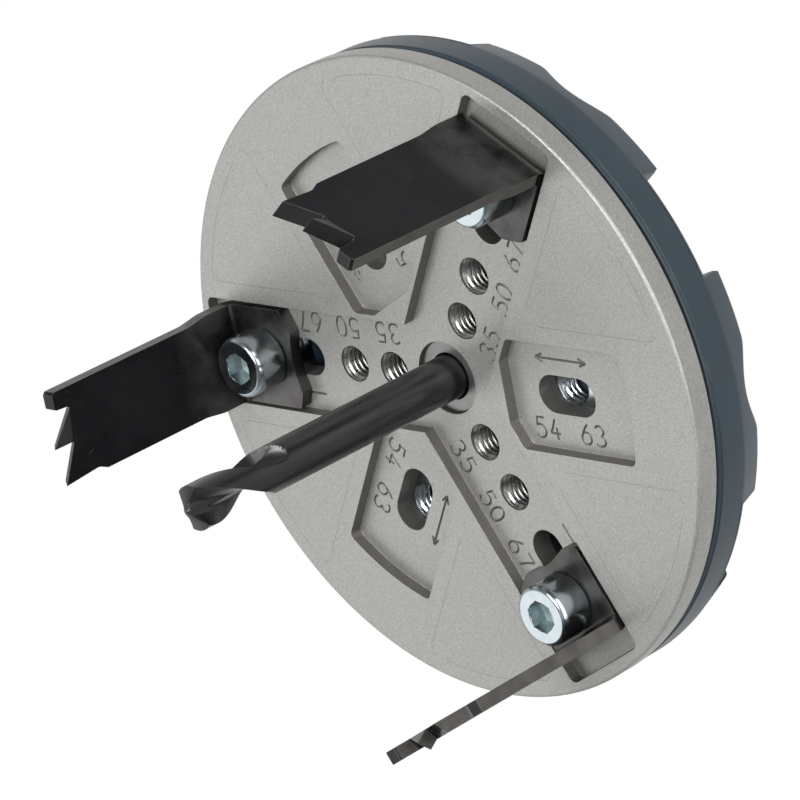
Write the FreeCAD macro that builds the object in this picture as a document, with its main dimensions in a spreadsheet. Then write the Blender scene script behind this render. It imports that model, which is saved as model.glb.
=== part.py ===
import FreeCAD, Part
import Sketcher
import math
import os

# Adjustable hole saw for cutting round holes in sheet and board.
# Three L-shaped blades stand in a Y of channels in a die-cast plate and are set to a cutting circle.
# Millimetres. Origin on the tool axis in the collar's back face, where the shank enters the chuck.
# +Z runs to the drill's point. Heights below are measured from the plate's front face, and every piece
# is then lifted by front_lift, the distance from the collar's back face to that front face.
# Arm A points along +X, arms B and C lie 120 and 240 degrees round from it, seats lie between the arms.

os.makedirs("parts", exist_ok=True)
doc = FreeCAD.newDocument("AdjustableHoleSaw")
sheet = doc.addObject("Spreadsheet::Sheet", "Sizes")

SIZES = [
    # cutting circles marked on the plate, and the one the blades are set to
    ("mark_first", 35.0), ("mark_second", 50.0), ("mark_seat_low", 54.0), ("mark_seat_high", 63.0),
    ("mark_slot_low", 67.0), ("mark_slot_high", 85.6), ("cut_inset", 4.2),
    # plate
    ("plate_edge", 1.5), ("rim_thickness", 3.45), ("plate_thickness", 8.0), ("plate_ledge", 3.1),
    ("front_chamfer", 0.35), ("channel_width", 15.0), ("channel_depth", 1.7), ("channel_wall", 1.9),
    ("corner_round", 1.0), ("seat_start", 12.0), ("seat_end", 33.8), ("seat_depth", 1.7), ("ridge", 0.75),
    ("core_diameter", 4.3), ("mouth_diameter", 5.3), ("slot_width", 5.2), ("hub_bore", 10.0),
    ("nut_wall", 3.2),
    # rear cover
    ("cover_gap", 0.35), ("cover_inset", 0.15), ("cover_lip", 0.9), ("cover_lip_step", 0.2),
    ("cover_floor", 1.6), ("cover_fit", 0.2), ("grip_height", 3.8), ("grip_taper", 1.5),
    ("grip_width", 8.65), ("grip_half_angle", 20.4), ("scallop_width", 9.6), ("scallop_depth", 1.9),
    ("scallop_lead", 1.25), ("boss_radius", 13.0), ("boss_height", 1.4), ("boss_round", 0.6),
    ("rib_width", 1.6), ("rib_height", 1.0), ("sink_clear", 0.2),
    # arbor
    ("collar_diameter", 20.0), ("collar_length", 8.0), ("collar_chamfer", 0.8), ("collar_clear", 0.3),
    ("shank_flats", 9.5), ("shank_length", 19.5), ("shank_chamfer", 1.0), ("spigot_drop", 0.7),
    ("neck_diameter", 9.3), ("neck_length", 1.2), ("spigot_fit", 0.02),
    # pilot drill and the screw that holds it
    ("drill_diameter", 6.0), ("drill_fit", 0.02), ("drill_reach", 45.2), ("drill_hold", 19.0),
    ("drill_point_angle", 130.0), ("flute_length", 11.4), ("flute_pitch", 36.0), ("flute_radius", 1.8),
    ("flute_runout", 5.0),
    ("drill_web", 1.3), ("grip_screw_diameter", 4.5), ("grip_screw_length", 6.0), ("grip_screw_socket", 2.5),
    ("grip_screw_drop", 4.5), ("grip_socket_depth", 2.7), ("thread_fit", 0.05),
    # blades
    ("blade_thickness", 1.8), ("blade_width", 14.0), ("blade_leg_width", 13.0), ("shoulder_low", 5.0),
    ("shoulder_high", 8.0), ("tooth_reach", 7.8), ("leg_reach", 6.7), ("foot_tail", 6.2),
    ("foot_notch", 0.9), ("foot_slant", 0.2), ("corner_right", 1.9), ("corner_left", 1.1),
    ("bend_radius", 0.55), ("blade_hole", 5.3),
    ("raker_height", 32.8), ("tooth_height", 33.5), ("gullet_height", 29.6), ("raker_width", 2.5),
    ("tooth_pitch", 4.9), ("tooth_rake", 0.3), ("tooth_lean", 0.2), ("tooth_set", 1.1), ("set_height", 5.0),
    ("lead_step_low", 26.0), ("lead_step_high", 27.6), ("lead_step", 0.65),
    # socket screws and square nuts
    ("head_diameter", 8.5), ("head_height", 5.0), ("head_chamfer", 0.5), ("head_socket", 4.0),
    ("head_socket_depth", 2.6), ("thread_diameter", 4.6), ("nut_size", 8.0), ("nut_thickness", 2.7),
    ("nut_side_gap", 0.3), ("screw_tip_gap", 0.3), ("screw_tip_chamfer", 0.4),
    ("spare_nut_a", 21.4), ("spare_nut_b", 23.2), ("spare_nut_c", 19.6),
    # screws that hold the cover
    ("cover_screw_circle", 30.0), ("cover_screw_diameter", 2.8), ("cover_screw_head", 5.4),
    ("cover_screw_length", 6.5), ("cover_screw_slot", 0.8), ("cover_screw_slot_depth", 0.7),
]

for row, (name, value) in enumerate(SIZES, start=1):
    sheet.set("A%d" % row, name)
    sheet.set("B%d" % row, str(value))
    sheet.setAlias("B%d" % row, name)
doc.recompute()


class Size:
    """A size as the text that binds it to the sheet, with its present value."""

    def __init__(self, text, value):
        self.text = text
        self.value = float(value)

    def mix(self, other, sign, value, swap=False):
        other = as_size(other)
        pair = (other.text, self.text) if swap else (self.text, other.text)
        return Size("(%s %s %s)" % (pair[0], sign, pair[1]), value)

    def __add__(self, other):
        return self.mix(other, "+", self.value + as_size(other).value)

    def __radd__(self, other):
        return self.mix(other, "+", self.value + as_size(other).value, True)

    def __sub__(self, other):
        return self.mix(other, "-", self.value - as_size(other).value)

    def __rsub__(self, other):
        return self.mix(other, "-", as_size(other).value - self.value, True)

    def __mul__(self, other):
        return self.mix(other, "*", self.value * as_size(other).value)

    def __rmul__(self, other):
        return self.mix(other, "*", self.value * as_size(other).value, True)

    def __truediv__(self, other):
        return self.mix(other, "/", self.value / as_size(other).value)

    def __neg__(self):
        return Size("(0 - %s)" % self.text, -self.value)


def as_size(thing):
    return thing if isinstance(thing, Size) else Size("%.6g" % thing, thing)


def sine(angle):
    angle = as_size(angle)
    return Size("sin(%s)" % angle.text, math.sin(math.radians(angle.value)))


def cosine(angle):
    angle = as_size(angle)
    return Size("cos(%s)" % angle.text, math.cos(math.radians(angle.value)))


def tangent(angle):
    angle = as_size(angle)
    return Size("tan(%s)" % angle.text, math.tan(math.radians(angle.value)))


class Sheet:
    """Names of the sheet as attributes."""


at = Sheet()
for name, value in SIZES:
    setattr(at, name, Size("Sizes.%s" % name, value))


# Plate and blade setting from the largest circle marked, and radii that follow the plate's own

at.cut_set = at.mark_slot_high - at.cut_inset
at.plate_radius = at.mark_slot_high / 2 + at.plate_edge
at.spigot_radius = at.plate_radius - at.plate_ledge
at.channel_end = at.plate_radius - at.channel_wall
at.cover_radius = at.plate_radius - at.cover_inset
at.grip_inner = at.cover_radius - at.grip_width


def bind(thing, prop, size):
    thing.setExpression(prop, as_size(size).text)


def new_body(label):
    body = doc.addObject("PartDesign::Body", label)
    body.Label = label
    return body


def origin_item(body, role):
    return [item for item in body.Origin.OriginFeatures if item.Role == role][0]


def new_sketch(body, name, plane, lift=0.0, turn=0.0):
    """A sketch on one of the body's own planes, lifted along the plane's normal and turned in it."""
    sketch = body.newObject("Sketcher::SketchObject", name)
    sketch.AttachmentSupport = [(origin_item(body, plane), "")]
    sketch.MapMode = "FlatFace"
    rotation = FreeCAD.Rotation(FreeCAD.Vector(0, 0, 1), as_size(turn).value)
    sketch.AttachmentOffset = FreeCAD.Placement(FreeCAD.Vector(0, 0, as_size(lift).value), rotation)
    if isinstance(lift, Size):
        bind(sketch, "AttachmentOffset.Base.z", lift)
    return sketch


def fix_point(sketch, geo, spot, x, y):
    """Bind a point of the sketch to its distances from the sketch's origin."""
    for kind, size in (("DistanceX", x), ("DistanceY", y)):
        if size is None:
            continue
        size = as_size(size)
        index = sketch.addConstraint(Sketcher.Constraint(kind, -1, 1, geo, spot, size.value))
        if size.text.find("Sizes") >= 0:
            bind(sketch, "Constraints[%d]" % index, size)


def polygon(sketch, corners):
    """A closed outline of straight lines through bound corners."""
    first = sketch.GeometryCount
    count = len(corners)
    spots = [FreeCAD.Vector(as_size(x).value, as_size(y).value, 0) for x, y in corners]
    for n in range(count):
        sketch.addGeometry(Part.LineSegment(spots[n], spots[(n + 1) % count]), False)
    for n in range(count):
        sketch.addConstraint(Sketcher.Constraint("Coincident", first + n, 2, first + (n + 1) % count, 1))
    for n, (x, y) in enumerate(corners):
        fix_point(sketch, first + n, 1, x, y)


def circle(sketch, x, y, radius):
    radius = as_size(radius)
    spot = FreeCAD.Vector(as_size(x).value, as_size(y).value, 0)
    geo = sketch.addGeometry(Part.Circle(spot, FreeCAD.Vector(0, 0, 1), radius.value), False)
    index = sketch.addConstraint(Sketcher.Constraint("Radius", geo, radius.value))
    bind(sketch, "Constraints[%d]" % index, radius)
    fix_point(sketch, geo, 3, x, y)


def stadium(sketch, low, high, radius):
    """A round-ended slot along the sketch's X axis between two end centres."""
    a, b, r = as_size(low).value, as_size(high).value, as_size(radius).value
    normal = FreeCAD.Vector(0, 0, 1)
    top = sketch.addGeometry(Part.LineSegment(FreeCAD.Vector(a, r, 0), FreeCAD.Vector(b, r, 0)), False)
    far = Part.ArcOfCircle(Part.Circle(FreeCAD.Vector(b, 0, 0), normal, r), -math.pi / 2, math.pi / 2)
    far = sketch.addGeometry(far, False)
    low_line = Part.LineSegment(FreeCAD.Vector(b, -r, 0), FreeCAD.Vector(a, -r, 0))
    low_line = sketch.addGeometry(low_line, False)
    near = Part.ArcOfCircle(Part.Circle(FreeCAD.Vector(a, 0, 0), normal, r), math.pi / 2, 3 * math.pi / 2)
    near = sketch.addGeometry(near, False)
    sketch.addConstraint(Sketcher.Constraint("Tangent", top, 2, far, 2))
    sketch.addConstraint(Sketcher.Constraint("Tangent", far, 1, low_line, 1))
    sketch.addConstraint(Sketcher.Constraint("Tangent", low_line, 2, near, 2))
    sketch.addConstraint(Sketcher.Constraint("Tangent", near, 1, top, 1))
    fix_point(sketch, far, 3, high, 0)
    fix_point(sketch, near, 3, low, 0)
    index = sketch.addConstraint(Sketcher.Constraint("Radius", far, r))
    bind(sketch, "Constraints[%d]" % index, radius)


def hexagon(sketch, flats):
    """A hexagon about the sketch's origin, by its width across flats."""
    reach = flats / math.sqrt(3)
    corners = []
    for n in range(6):
        c = round(math.cos(math.radians(60 * n)), 6)
        s = round(math.sin(math.radians(60 * n)), 6)
        corners.append((reach * c, reach * s))
    polygon(sketch, corners)


def turned(body, name, corners, plane="XZ_Plane"):
    """A solid of revolution about Z from a half profile of radius and height."""
    sketch = new_sketch(body, name + "Profile", plane)
    polygon(sketch, corners)
    feature = body.newObject("PartDesign::Revolution", name)
    feature.Profile = sketch
    feature.ReferenceAxis = (sketch, ["V_Axis"])
    feature.Angle = 360
    return feature


def groove(body, name, corners, plane="XZ_Plane"):
    sketch = new_sketch(body, name + "Profile", plane)
    polygon(sketch, corners)
    feature = body.newObject("PartDesign::Groove", name)
    feature.Profile = sketch
    feature.ReferenceAxis = (sketch, ["V_Axis"])
    feature.Angle = 360
    return feature


def pad(body, name, sketch, length, both=False, back=False):
    feature = body.newObject("PartDesign::Pad", name)
    feature.Profile = sketch
    bind(feature, "Length", length)
    feature.Midplane = both
    feature.Reversed = back
    return feature


def pocket(body, name, sketch, length=None, back=False, both=False):
    """A cut against the sketch's normal, or along it when back is set. No length cuts through all."""
    feature = body.newObject("PartDesign::Pocket", name)
    feature.Profile = sketch
    if length is None:
        feature.Type = 1
    else:
        bind(feature, "Length", length)
    feature.Reversed = back
    feature.Midplane = both
    return feature


def polar(body, name, features, count):
    feature = body.newObject("PartDesign::PolarPattern", name)
    feature.Originals = features
    feature.Axis = (origin_item(body, "Z_Axis"), [""])
    feature.Angle = 360
    feature.Occurrences = count
    body.Tip = feature
    return feature


def edges_of(feature, test):
    return ["Edge%d" % (n + 1) for n, edge in enumerate(feature.Shape.Edges) if test(edge)]


def is_upright(edge):
    a, b = edge.Vertexes[0].Point, edge.Vertexes[-1].Point
    straight = edge.Curve.TypeId == "Part::GeomLine"
    return straight and abs(a.z - b.z) > 0.2 and math.hypot(a.x - b.x, a.y - b.y) < 1e-4


def dress(body, kind, name, base, test, size):
    """A fillet or chamfer on the edges of base that pass the test."""
    doc.recompute()
    feature = body.newObject("PartDesign::" + kind, name)
    feature.Base = (base, edges_of(base, test))
    bind(feature, "Radius" if kind == "Fillet" else "Size", size)
    body.Tip = feature
    return feature


def place(body, radius, angle):
    """Stand a body on a spoke of the plate: radius out and angle round, lifted with all the others."""
    body.Placement = FreeCAD.Placement(
        FreeCAD.Vector(0, 0, 0), FreeCAD.Rotation(FreeCAD.Vector(0, 0, 1), angle))
    bind(body, "Placement.Base.x", radius * cosine(angle))
    bind(body, "Placement.Base.y", radius * sine(angle))
    bind(body, "Placement.Base.z", front_lift)


# Arms by letter, and how far a cut runs past what it cuts
ARMS = [("a", 0), ("b", 120), ("c", 240)]
OVERRUN = 1.0

# Screw radii that belong to the marked circles

first_radius = at.mark_first / 2 - at.tooth_reach
second_radius = at.mark_second / 2 - at.tooth_reach
seat_low = at.mark_seat_low / 2 - at.tooth_reach
seat_high = at.mark_seat_high / 2 - at.tooth_reach
slot_low = at.mark_slot_low / 2 - at.tooth_reach
slot_high = at.mark_slot_high / 2 - at.tooth_reach
set_radius = at.cut_set / 2 - at.tooth_reach
half_channel = at.channel_width / 2
channel_floor = -at.channel_depth
nut_seat = channel_floor - at.nut_wall
plate_back = -at.plate_thickness
front_lift = at.plate_thickness + at.collar_length
nut_way = at.nut_size / 2 + at.nut_side_gap

# Plate

plate = new_body("base_plate")
disc = turned(plate, "Disc", [
    (0, 0), (at.plate_radius - at.front_chamfer, 0), (at.plate_radius, -at.front_chamfer),
    (at.plate_radius, -at.rim_thickness), (at.spigot_radius, -at.rim_thickness),
    (at.spigot_radius, plate_back), (0, plate_back)])

# The Y of channels that the blade feet slide in
arm_sketch = new_sketch(plate, "ArmOutline", "XY_Plane")
polygon(arm_sketch, [(0, -half_channel), (at.channel_end, -half_channel), (at.channel_end, half_channel),
                     (0, half_channel)])
arm = pocket(plate, "ArmChannel", arm_sketch, at.channel_depth)

# The seats between the arms, with corners cut back along the neighbouring channels
ridge_line = half_channel + at.ridge
corner_y = (at.seat_start * cosine(30) - ridge_line) * 2
corner_x = (ridge_line + half_channel / 2) / cosine(30)
end_y = half_channel
end_x = at.seat_end * Size("cos(asin(%s / %s))" % (end_y.text, at.seat_end.text),
                           math.sqrt(1 - (end_y.value / at.seat_end.value) ** 2))
seat_sketch = new_sketch(plate, "SeatOutline", "XY_Plane", 0.0, 60)
spots = [(at.seat_start, -corner_y), (corner_x, -end_y), (end_x, -end_y), (end_x, end_y), (corner_x, end_y),
         (at.seat_start, corner_y)]
vectors = [FreeCAD.Vector(as_size(x).value, as_size(y).value, 0) for x, y in spots]
for a, b in ((0, 1), (1, 2), (3, 4), (4, 5), (5, 0)):
    seat_sketch.addGeometry(Part.LineSegment(vectors[a], vectors[b]), False)
reach = math.atan2(end_y.value, end_x.value)
outer_circle = Part.Circle(FreeCAD.Vector(0, 0, 0), FreeCAD.Vector(0, 0, 1), at.seat_end.value)
arc = Part.ArcOfCircle(outer_circle, -reach, reach)
seat_sketch.addGeometry(arc, False)
for a, b in ((0, 1), (2, 3), (3, 4), (4, 0)):
    seat_sketch.addConstraint(Sketcher.Constraint("Coincident", a, 2, b, 1))
seat_sketch.addConstraint(Sketcher.Constraint("Coincident", 1, 2, 5, 1))
seat_sketch.addConstraint(Sketcher.Constraint("Coincident", 5, 2, 2, 1))
seat_sketch.addConstraint(Sketcher.Constraint("Coincident", 5, 3, -1, 1))
index = seat_sketch.addConstraint(Sketcher.Constraint("Radius", 5, at.seat_end.value))
bind(seat_sketch, "Constraints[%d]" % index, at.seat_end)
fix_point(seat_sketch, 0, 1, spots[0][0], spots[0][1])
fix_point(seat_sketch, 1, 1, spots[1][0], spots[1][1])
fix_point(seat_sketch, 1, 2, None, spots[2][1])
fix_point(seat_sketch, 2, 1, None, spots[3][1])
fix_point(seat_sketch, 3, 1, spots[4][0], spots[4][1])
fix_point(seat_sketch, 4, 1, spots[5][0], spots[5][1])
seat = pocket(plate, "Seat", seat_sketch, at.seat_depth)

# Slots through to the captive nuts
slot_sketch = new_sketch(plate, "ArmSlotOutline", "XY_Plane")
stadium(slot_sketch, slot_low, slot_high, at.slot_width / 2)
arm_slot = pocket(plate, "ArmSlot", slot_sketch)
seat_slot_sketch = new_sketch(plate, "SeatSlotOutline", "XY_Plane", 0.0, 60)
stadium(seat_slot_sketch, seat_low, seat_high, at.slot_width / 2)
seat_slot = pocket(plate, "SeatSlot", seat_slot_sketch)

# Nut ways behind the slots, open to the back and closed by the cover
way_depth = nut_seat - plate_back
way_sketch = new_sketch(plate, "ArmNutWayOutline", "XY_Plane", plate_back)
polygon(way_sketch, [(slot_low - nut_way, -nut_way), (slot_high + nut_way, -nut_way),
                     (slot_high + nut_way, nut_way), (slot_low - nut_way, nut_way)])
arm_way = pocket(plate, "ArmNutWay", way_sketch, way_depth, back=True)
seat_way_sketch = new_sketch(plate, "SeatNutWayOutline", "XY_Plane", plate_back, 60)
polygon(seat_way_sketch, [(seat_low - nut_way, -nut_way), (seat_high + nut_way, -nut_way),
                          (seat_high + nut_way, nut_way), (seat_low - nut_way, nut_way)])
seat_way = pocket(plate, "SeatNutWay", seat_way_sketch, way_depth, back=True)
plate_pattern = polar(plate, "PlatePattern", [arm, seat, arm_slot, seat_slot, arm_way, seat_way], 3)

# Tapped holes for the two small circles, modelled at core size with a countersunk mouth
doc.recompute()
core_sketch = new_sketch(plate, "CoreCentres", "XY_Plane", channel_floor)
circle(core_sketch, first_radius, 0, at.core_diameter / 2)
circle(core_sketch, second_radius, 0, at.core_diameter / 2)
doc.recompute()
cores = plate.newObject("PartDesign::Hole", "TappedHoles")
cores.Profile = core_sketch
bind(cores, "Diameter", at.core_diameter)
cores.DepthType = 1
cores.HoleCutType = "Countersink"
bind(cores, "HoleCutDiameter", at.mouth_diameter)
cores.HoleCutCountersinkAngle = 90
core_pattern = polar(plate, "CorePattern", [cores], 3)

# Hub bore for the arbor and blind holes for the cover's screws
bore_sketch = new_sketch(plate, "HubBoreOutline", "XY_Plane")
circle(bore_sketch, 0, 0, at.hub_bore / 2)
hub_bore = pocket(plate, "HubBore", bore_sketch)
cover_hole_sketch = new_sketch(plate, "CoverHoleOutline", "XY_Plane", plate_back, 90)
circle(cover_hole_sketch, at.cover_screw_circle, 0, at.cover_screw_diameter / 2 + at.thread_fit)
cover_hole_depth = at.cover_screw_length - at.cover_floor + at.screw_tip_gap
cover_hole = pocket(plate, "CoverHole", cover_hole_sketch, cover_hole_depth, back=True)
cover_hole_pattern = polar(plate, "CoverHolePattern", [cover_hole], 3)

# Rounded corners of channels and seats


def channel_corner(edge):
    if not is_upright(edge):
        return False
    spot = edge.Vertexes[0].Point
    low = min(v.Point.z for v in edge.Vertexes)
    if low < channel_floor.value - 0.01:
        return False
    away = math.hypot(spot.x, spot.y)
    at_end = abs(away - math.hypot(at.channel_end.value, half_channel.value)) < 0.01
    at_seat = abs(away - at.seat_end.value) < 0.01
    at_start = abs(away - math.hypot(at.seat_start.value, corner_y.value)) < 0.01
    at_side = abs(away - math.hypot(corner_x.value, end_y.value)) < 0.01
    return at_end or at_seat or at_start or at_side


rounded = dress(plate, "Fillet", "CornerRounds", cover_hole_pattern, channel_corner, at.corner_round)
bind(plate, "Placement.Base.z", front_lift)

# Rear cover: a cup over the plate's spigot with grips standing off its back

cover = new_body("rear_cover")
cover_front = -(at.rim_thickness + at.cover_gap)
cover_back = plate_back - at.cover_floor
grip_top = cover_back - at.grip_height
cup_inner = at.spigot_radius + at.cover_fit
collar_hole = at.collar_diameter / 2 + at.collar_clear
lip_radius = at.cover_radius - at.cover_lip_step
cup = turned(cover, "Cup", [
    (cup_inner, cover_front), (lip_radius - at.cover_lip / 2, cover_front),
    (lip_radius, cover_front - at.cover_lip / 2), (lip_radius, cover_front - at.cover_lip),
    (at.cover_radius, cover_front - at.cover_lip), (at.cover_radius, cover_back + at.cover_floor / 2),
    (at.cover_radius - at.grip_taper, grip_top), (at.grip_inner, grip_top), (at.grip_inner, cover_back),
    (at.boss_radius, cover_back), (at.boss_radius - at.boss_round, cover_back - at.boss_height),
    (collar_hole, cover_back - at.boss_height), (collar_hole, plate_back), (cup_inner, plate_back)])

# Windows between the grips
gap_half = 30 - at.grip_half_angle
gap_reach = at.cover_radius + OVERRUN
window_sketch = new_sketch(cover, "WindowOutline", "XY_Plane", grip_top, 30)
window_inner = at.grip_inner - OVERRUN
polygon(window_sketch, [(window_inner, -(window_inner * tangent(gap_half))),
                        (gap_reach, -(gap_reach * tangent(gap_half))),
                        (gap_reach, gap_reach * tangent(gap_half)),
                        (window_inner, window_inner * tangent(gap_half))])
window = pocket(cover, "Window", window_sketch, at.grip_height, back=True)

# A scallop across the middle of each grip: half its outline as parts of its half width and its depth
SCALLOP_CURVE = [(1.0, 0.2), (0.72, 0.62), (0.4, 0.93), (0.12, 1.0)]
scallop_sketch = new_sketch(cover, "ScallopOutline", "YZ_Plane")
half_scallop = at.scallop_width / 2
mouth = half_scallop + at.scallop_lead
curve = [(half_scallop * wide, grip_top + at.scallop_depth * deep) for wide, deep in SCALLOP_CURVE]
right_side = [(mouth, grip_top - OVERRUN), (mouth, grip_top)] + curve
left_side = [(-x, y) for x, y in reversed(right_side)]
polygon(scallop_sketch, right_side + left_side)
scallop = pocket(cover, "Scallop", scallop_sketch, back=True)
grip_pattern = polar(cover, "GripPattern", [window, scallop], 6)

# Ribs on the cover's back from the boss to the grips, and countersunk screw holes
rib_sketch = new_sketch(cover, "RibOutline", "XY_Plane", cover_back)
rib_low = at.boss_radius - at.boss_round
rib_high = at.grip_inner + at.rib_width / 2
polygon(rib_sketch, [(rib_low, -(at.rib_width / 2)), (rib_high, -(at.rib_width / 2)),
                     (rib_high, at.rib_width / 2), (rib_low, at.rib_width / 2)])
rib = pad(cover, "Rib", rib_sketch, at.rib_height, back=True)
rib_pattern = polar(cover, "RibPattern", [rib], 6)
doc.recompute()
sink_sketch = new_sketch(cover, "SinkCentres", "XY_Plane", cover_back, 90)
circle(sink_sketch, at.cover_screw_circle, 0, at.cover_screw_diameter / 2 + at.sink_clear)
doc.recompute()
sink = cover.newObject("PartDesign::Hole", "SunkHoles")
sink.Profile = sink_sketch
bind(sink, "Diameter", at.cover_screw_diameter + at.sink_clear * 2)
sink.DepthType = 1
sink.HoleCutType = "Countersink"
bind(sink, "HoleCutDiameter", at.cover_screw_head + at.sink_clear)
sink.HoleCutCountersinkAngle = 90
sink.Reversed = True
polar(cover, "SinkPattern", [sink], 3)
bind(cover, "Placement.Base.z", front_lift)

# Arbor: spigot in the plate's hub, collar against its back, hexagon shank for the chuck

arbor = new_body("arbor")
spigot_top = channel_floor - at.spigot_drop
collar_back = plate_back - at.collar_length
neck_back = collar_back - at.neck_length
collar_radius = at.collar_diameter / 2
spigot_side = at.hub_bore / 2 - at.spigot_fit
turned(arbor, "Barrel", [
    (0, spigot_top), (spigot_side, spigot_top), (spigot_side, plate_back),
    (collar_radius, plate_back), (collar_radius, collar_back + at.collar_chamfer),
    (collar_radius - at.collar_chamfer, collar_back),
    (at.neck_diameter / 2, collar_back), (at.neck_diameter / 2, neck_back), (0, neck_back)])
shank_sketch = new_sketch(arbor, "ShankOutline", "XY_Plane", neck_back)
hexagon(shank_sketch, at.shank_flats)
pad(arbor, "Shank", shank_sketch, at.shank_length, back=True)
shank_end = neck_back - at.shank_length
point = at.shank_flats / math.sqrt(3)
groove(arbor, "ShankChamfer", [
    (point - at.shank_chamfer, shank_end - OVERRUN), (point + OVERRUN, shank_end - OVERRUN),
    (point + OVERRUN, shank_end + at.shank_chamfer / 2), (point, shank_end + at.shank_chamfer / 2),
    (point - at.shank_chamfer, shank_end)])
drill_back = -at.drill_hold
hold_sketch = new_sketch(arbor, "DrillHoleOutline", "XY_Plane", drill_back)
circle(hold_sketch, 0, 0, at.drill_diameter / 2 + at.drill_fit)
pocket(arbor, "DrillHole", hold_sketch, at.drill_hold, back=True)
side_height = plate_back - at.grip_screw_drop
side_sketch = new_sketch(arbor, "SideHoleOutline", "XZ_Plane")
circle(side_sketch, 0, side_height, at.grip_screw_diameter / 2 + at.thread_fit)
pocket(arbor, "SideHole", side_sketch, at.collar_diameter, back=True)
bind(arbor, "Placement.Base.z", front_lift)

# Screw that grips the drill through the collar's side

grip_screw = new_body("drill_grip_screw")
grip_face = at.drill_diameter / 2 + at.thread_fit
grip_sketch = new_sketch(grip_screw, "GripScrewOutline", "XZ_Plane", grip_face)
circle(grip_sketch, 0, 0, at.grip_screw_diameter / 2)
pad(grip_screw, "GripScrewRod", grip_sketch, at.grip_screw_length)
grip_end = grip_face + at.grip_screw_length
socket_sketch = new_sketch(grip_screw, "GripScrewSocket", "XZ_Plane", grip_end)
hexagon(socket_sketch, at.grip_screw_socket)
pocket(grip_screw, "GripScrewHex", socket_sketch, at.grip_socket_depth)
bind(grip_screw, "Placement.Base.z", front_lift + side_height)

# Pilot drill: plain shank, two short flutes and a ground point

drill_rod = new_body("drill_rod")
drill_radius = at.drill_diameter / 2
point_height = drill_radius / tangent(at.drill_point_angle / 2)
turned(drill_rod, "Rod", [
    (0, drill_back), (drill_radius, drill_back), (drill_radius, at.drill_reach - point_height),
    (0, at.drill_reach)])
flute_start = at.drill_reach - at.flute_length
flute_centre = at.flute_radius + at.drill_web / 2
climb = math.degrees(math.atan2(at.flute_pitch.value, 2 * math.pi * flute_centre.value))


def build_flute(number, angle):
    """A helical flute of even depth, and the wheel that leaves its long run-out towards the shank."""
    turn = FreeCAD.Rotation(FreeCAD.Vector(0, 0, 1), angle)
    spine = doc.addObject("Part::Helix", "FluteSpine%d" % number)
    bind(spine, "Pitch", at.flute_pitch)
    bind(spine, "Height", at.flute_length + at.flute_radius * 2)
    bind(spine, "Radius", flute_centre)
    spine.Placement = FreeCAD.Placement(FreeCAD.Vector(0, 0, 0), turn)
    bind(spine, "Placement.Base.z", flute_start)
    section = doc.addObject("Part::Circle", "FluteSection%d" % number)
    bind(section, "Radius", at.flute_radius)
    tilt = FreeCAD.Rotation(FreeCAD.Vector(1, 0, 0), climb - 90)
    section.Placement = FreeCAD.Placement(FreeCAD.Vector(0, 0, 0), turn * tilt)
    wheel = doc.addObject("Part::Torus", "FluteWheel%d" % number)
    bind(wheel, "Radius1", at.flute_runout)
    bind(wheel, "Radius2", at.flute_radius)
    wheel.Placement = FreeCAD.Placement(
        FreeCAD.Vector(0, 0, 0), turn * FreeCAD.Rotation(FreeCAD.Vector(1, 0, 0), climb))
    for item, out in ((section, flute_centre), (wheel, flute_centre + at.flute_runout)):
        bind(item, "Placement.Base.x", out * cosine(angle))
        bind(item, "Placement.Base.y", out * sine(angle))
        bind(item, "Placement.Base.z", flute_start)
    sweep = doc.addObject("Part::Sweep", "FluteSweep%d" % number)
    sweep.Sections = [section]
    doc.recompute()
    sweep.Spine = (spine, ["Edge%d" % (n + 1) for n in range(len(spine.Shape.Edges))])
    sweep.Solid = True
    sweep.Frenet = True
    return [sweep, wheel]


FLUTE_TURN = 35
cutters = build_flute(1, FLUTE_TURN) + build_flute(2, FLUTE_TURN + 180)
drill = drill_rod
for number, cutter in enumerate(cutters, start=1):
    step = doc.addObject("Part::Cut", "DrillCut%d" % number)
    step.Base = drill
    step.Tool = cutter
    drill = step
drill.Label = "pilot_drill"
bind(drill, "Placement.Base.z", front_lift)
doc.recompute()

# Blades: foot in the channel, bend, and a leg with a raker and two teeth

foot_low = channel_floor
foot_top = channel_floor + at.blade_thickness
leg_outer = at.leg_reach
leg_inner = at.leg_reach - at.blade_thickness
half_blade = at.blade_width / 2
half_leg = at.blade_leg_width / 2
raker_edge = -half_leg + at.raker_width
gullet_one = raker_edge + at.tooth_lean
tip_one = gullet_one + at.tooth_pitch + at.tooth_rake
gullet_two = tip_one - at.tooth_rake
tip_two = half_leg - at.tooth_lean
set_root = at.tooth_height - at.set_height
set_right = gullet_one + at.tooth_lean
set_left = tip_one + at.tooth_lean
set_shift = at.tooth_set * (at.set_height + OVERRUN) / at.set_height
blade_clear = at.blade_thickness + at.tooth_set + OVERRUN * 2
# The foot's tail from right to left, as parts of half its width and its distance in from the tail's tip
TAIL_RIGHT = 0.55
TAIL_LEFT = 0.68


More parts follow.
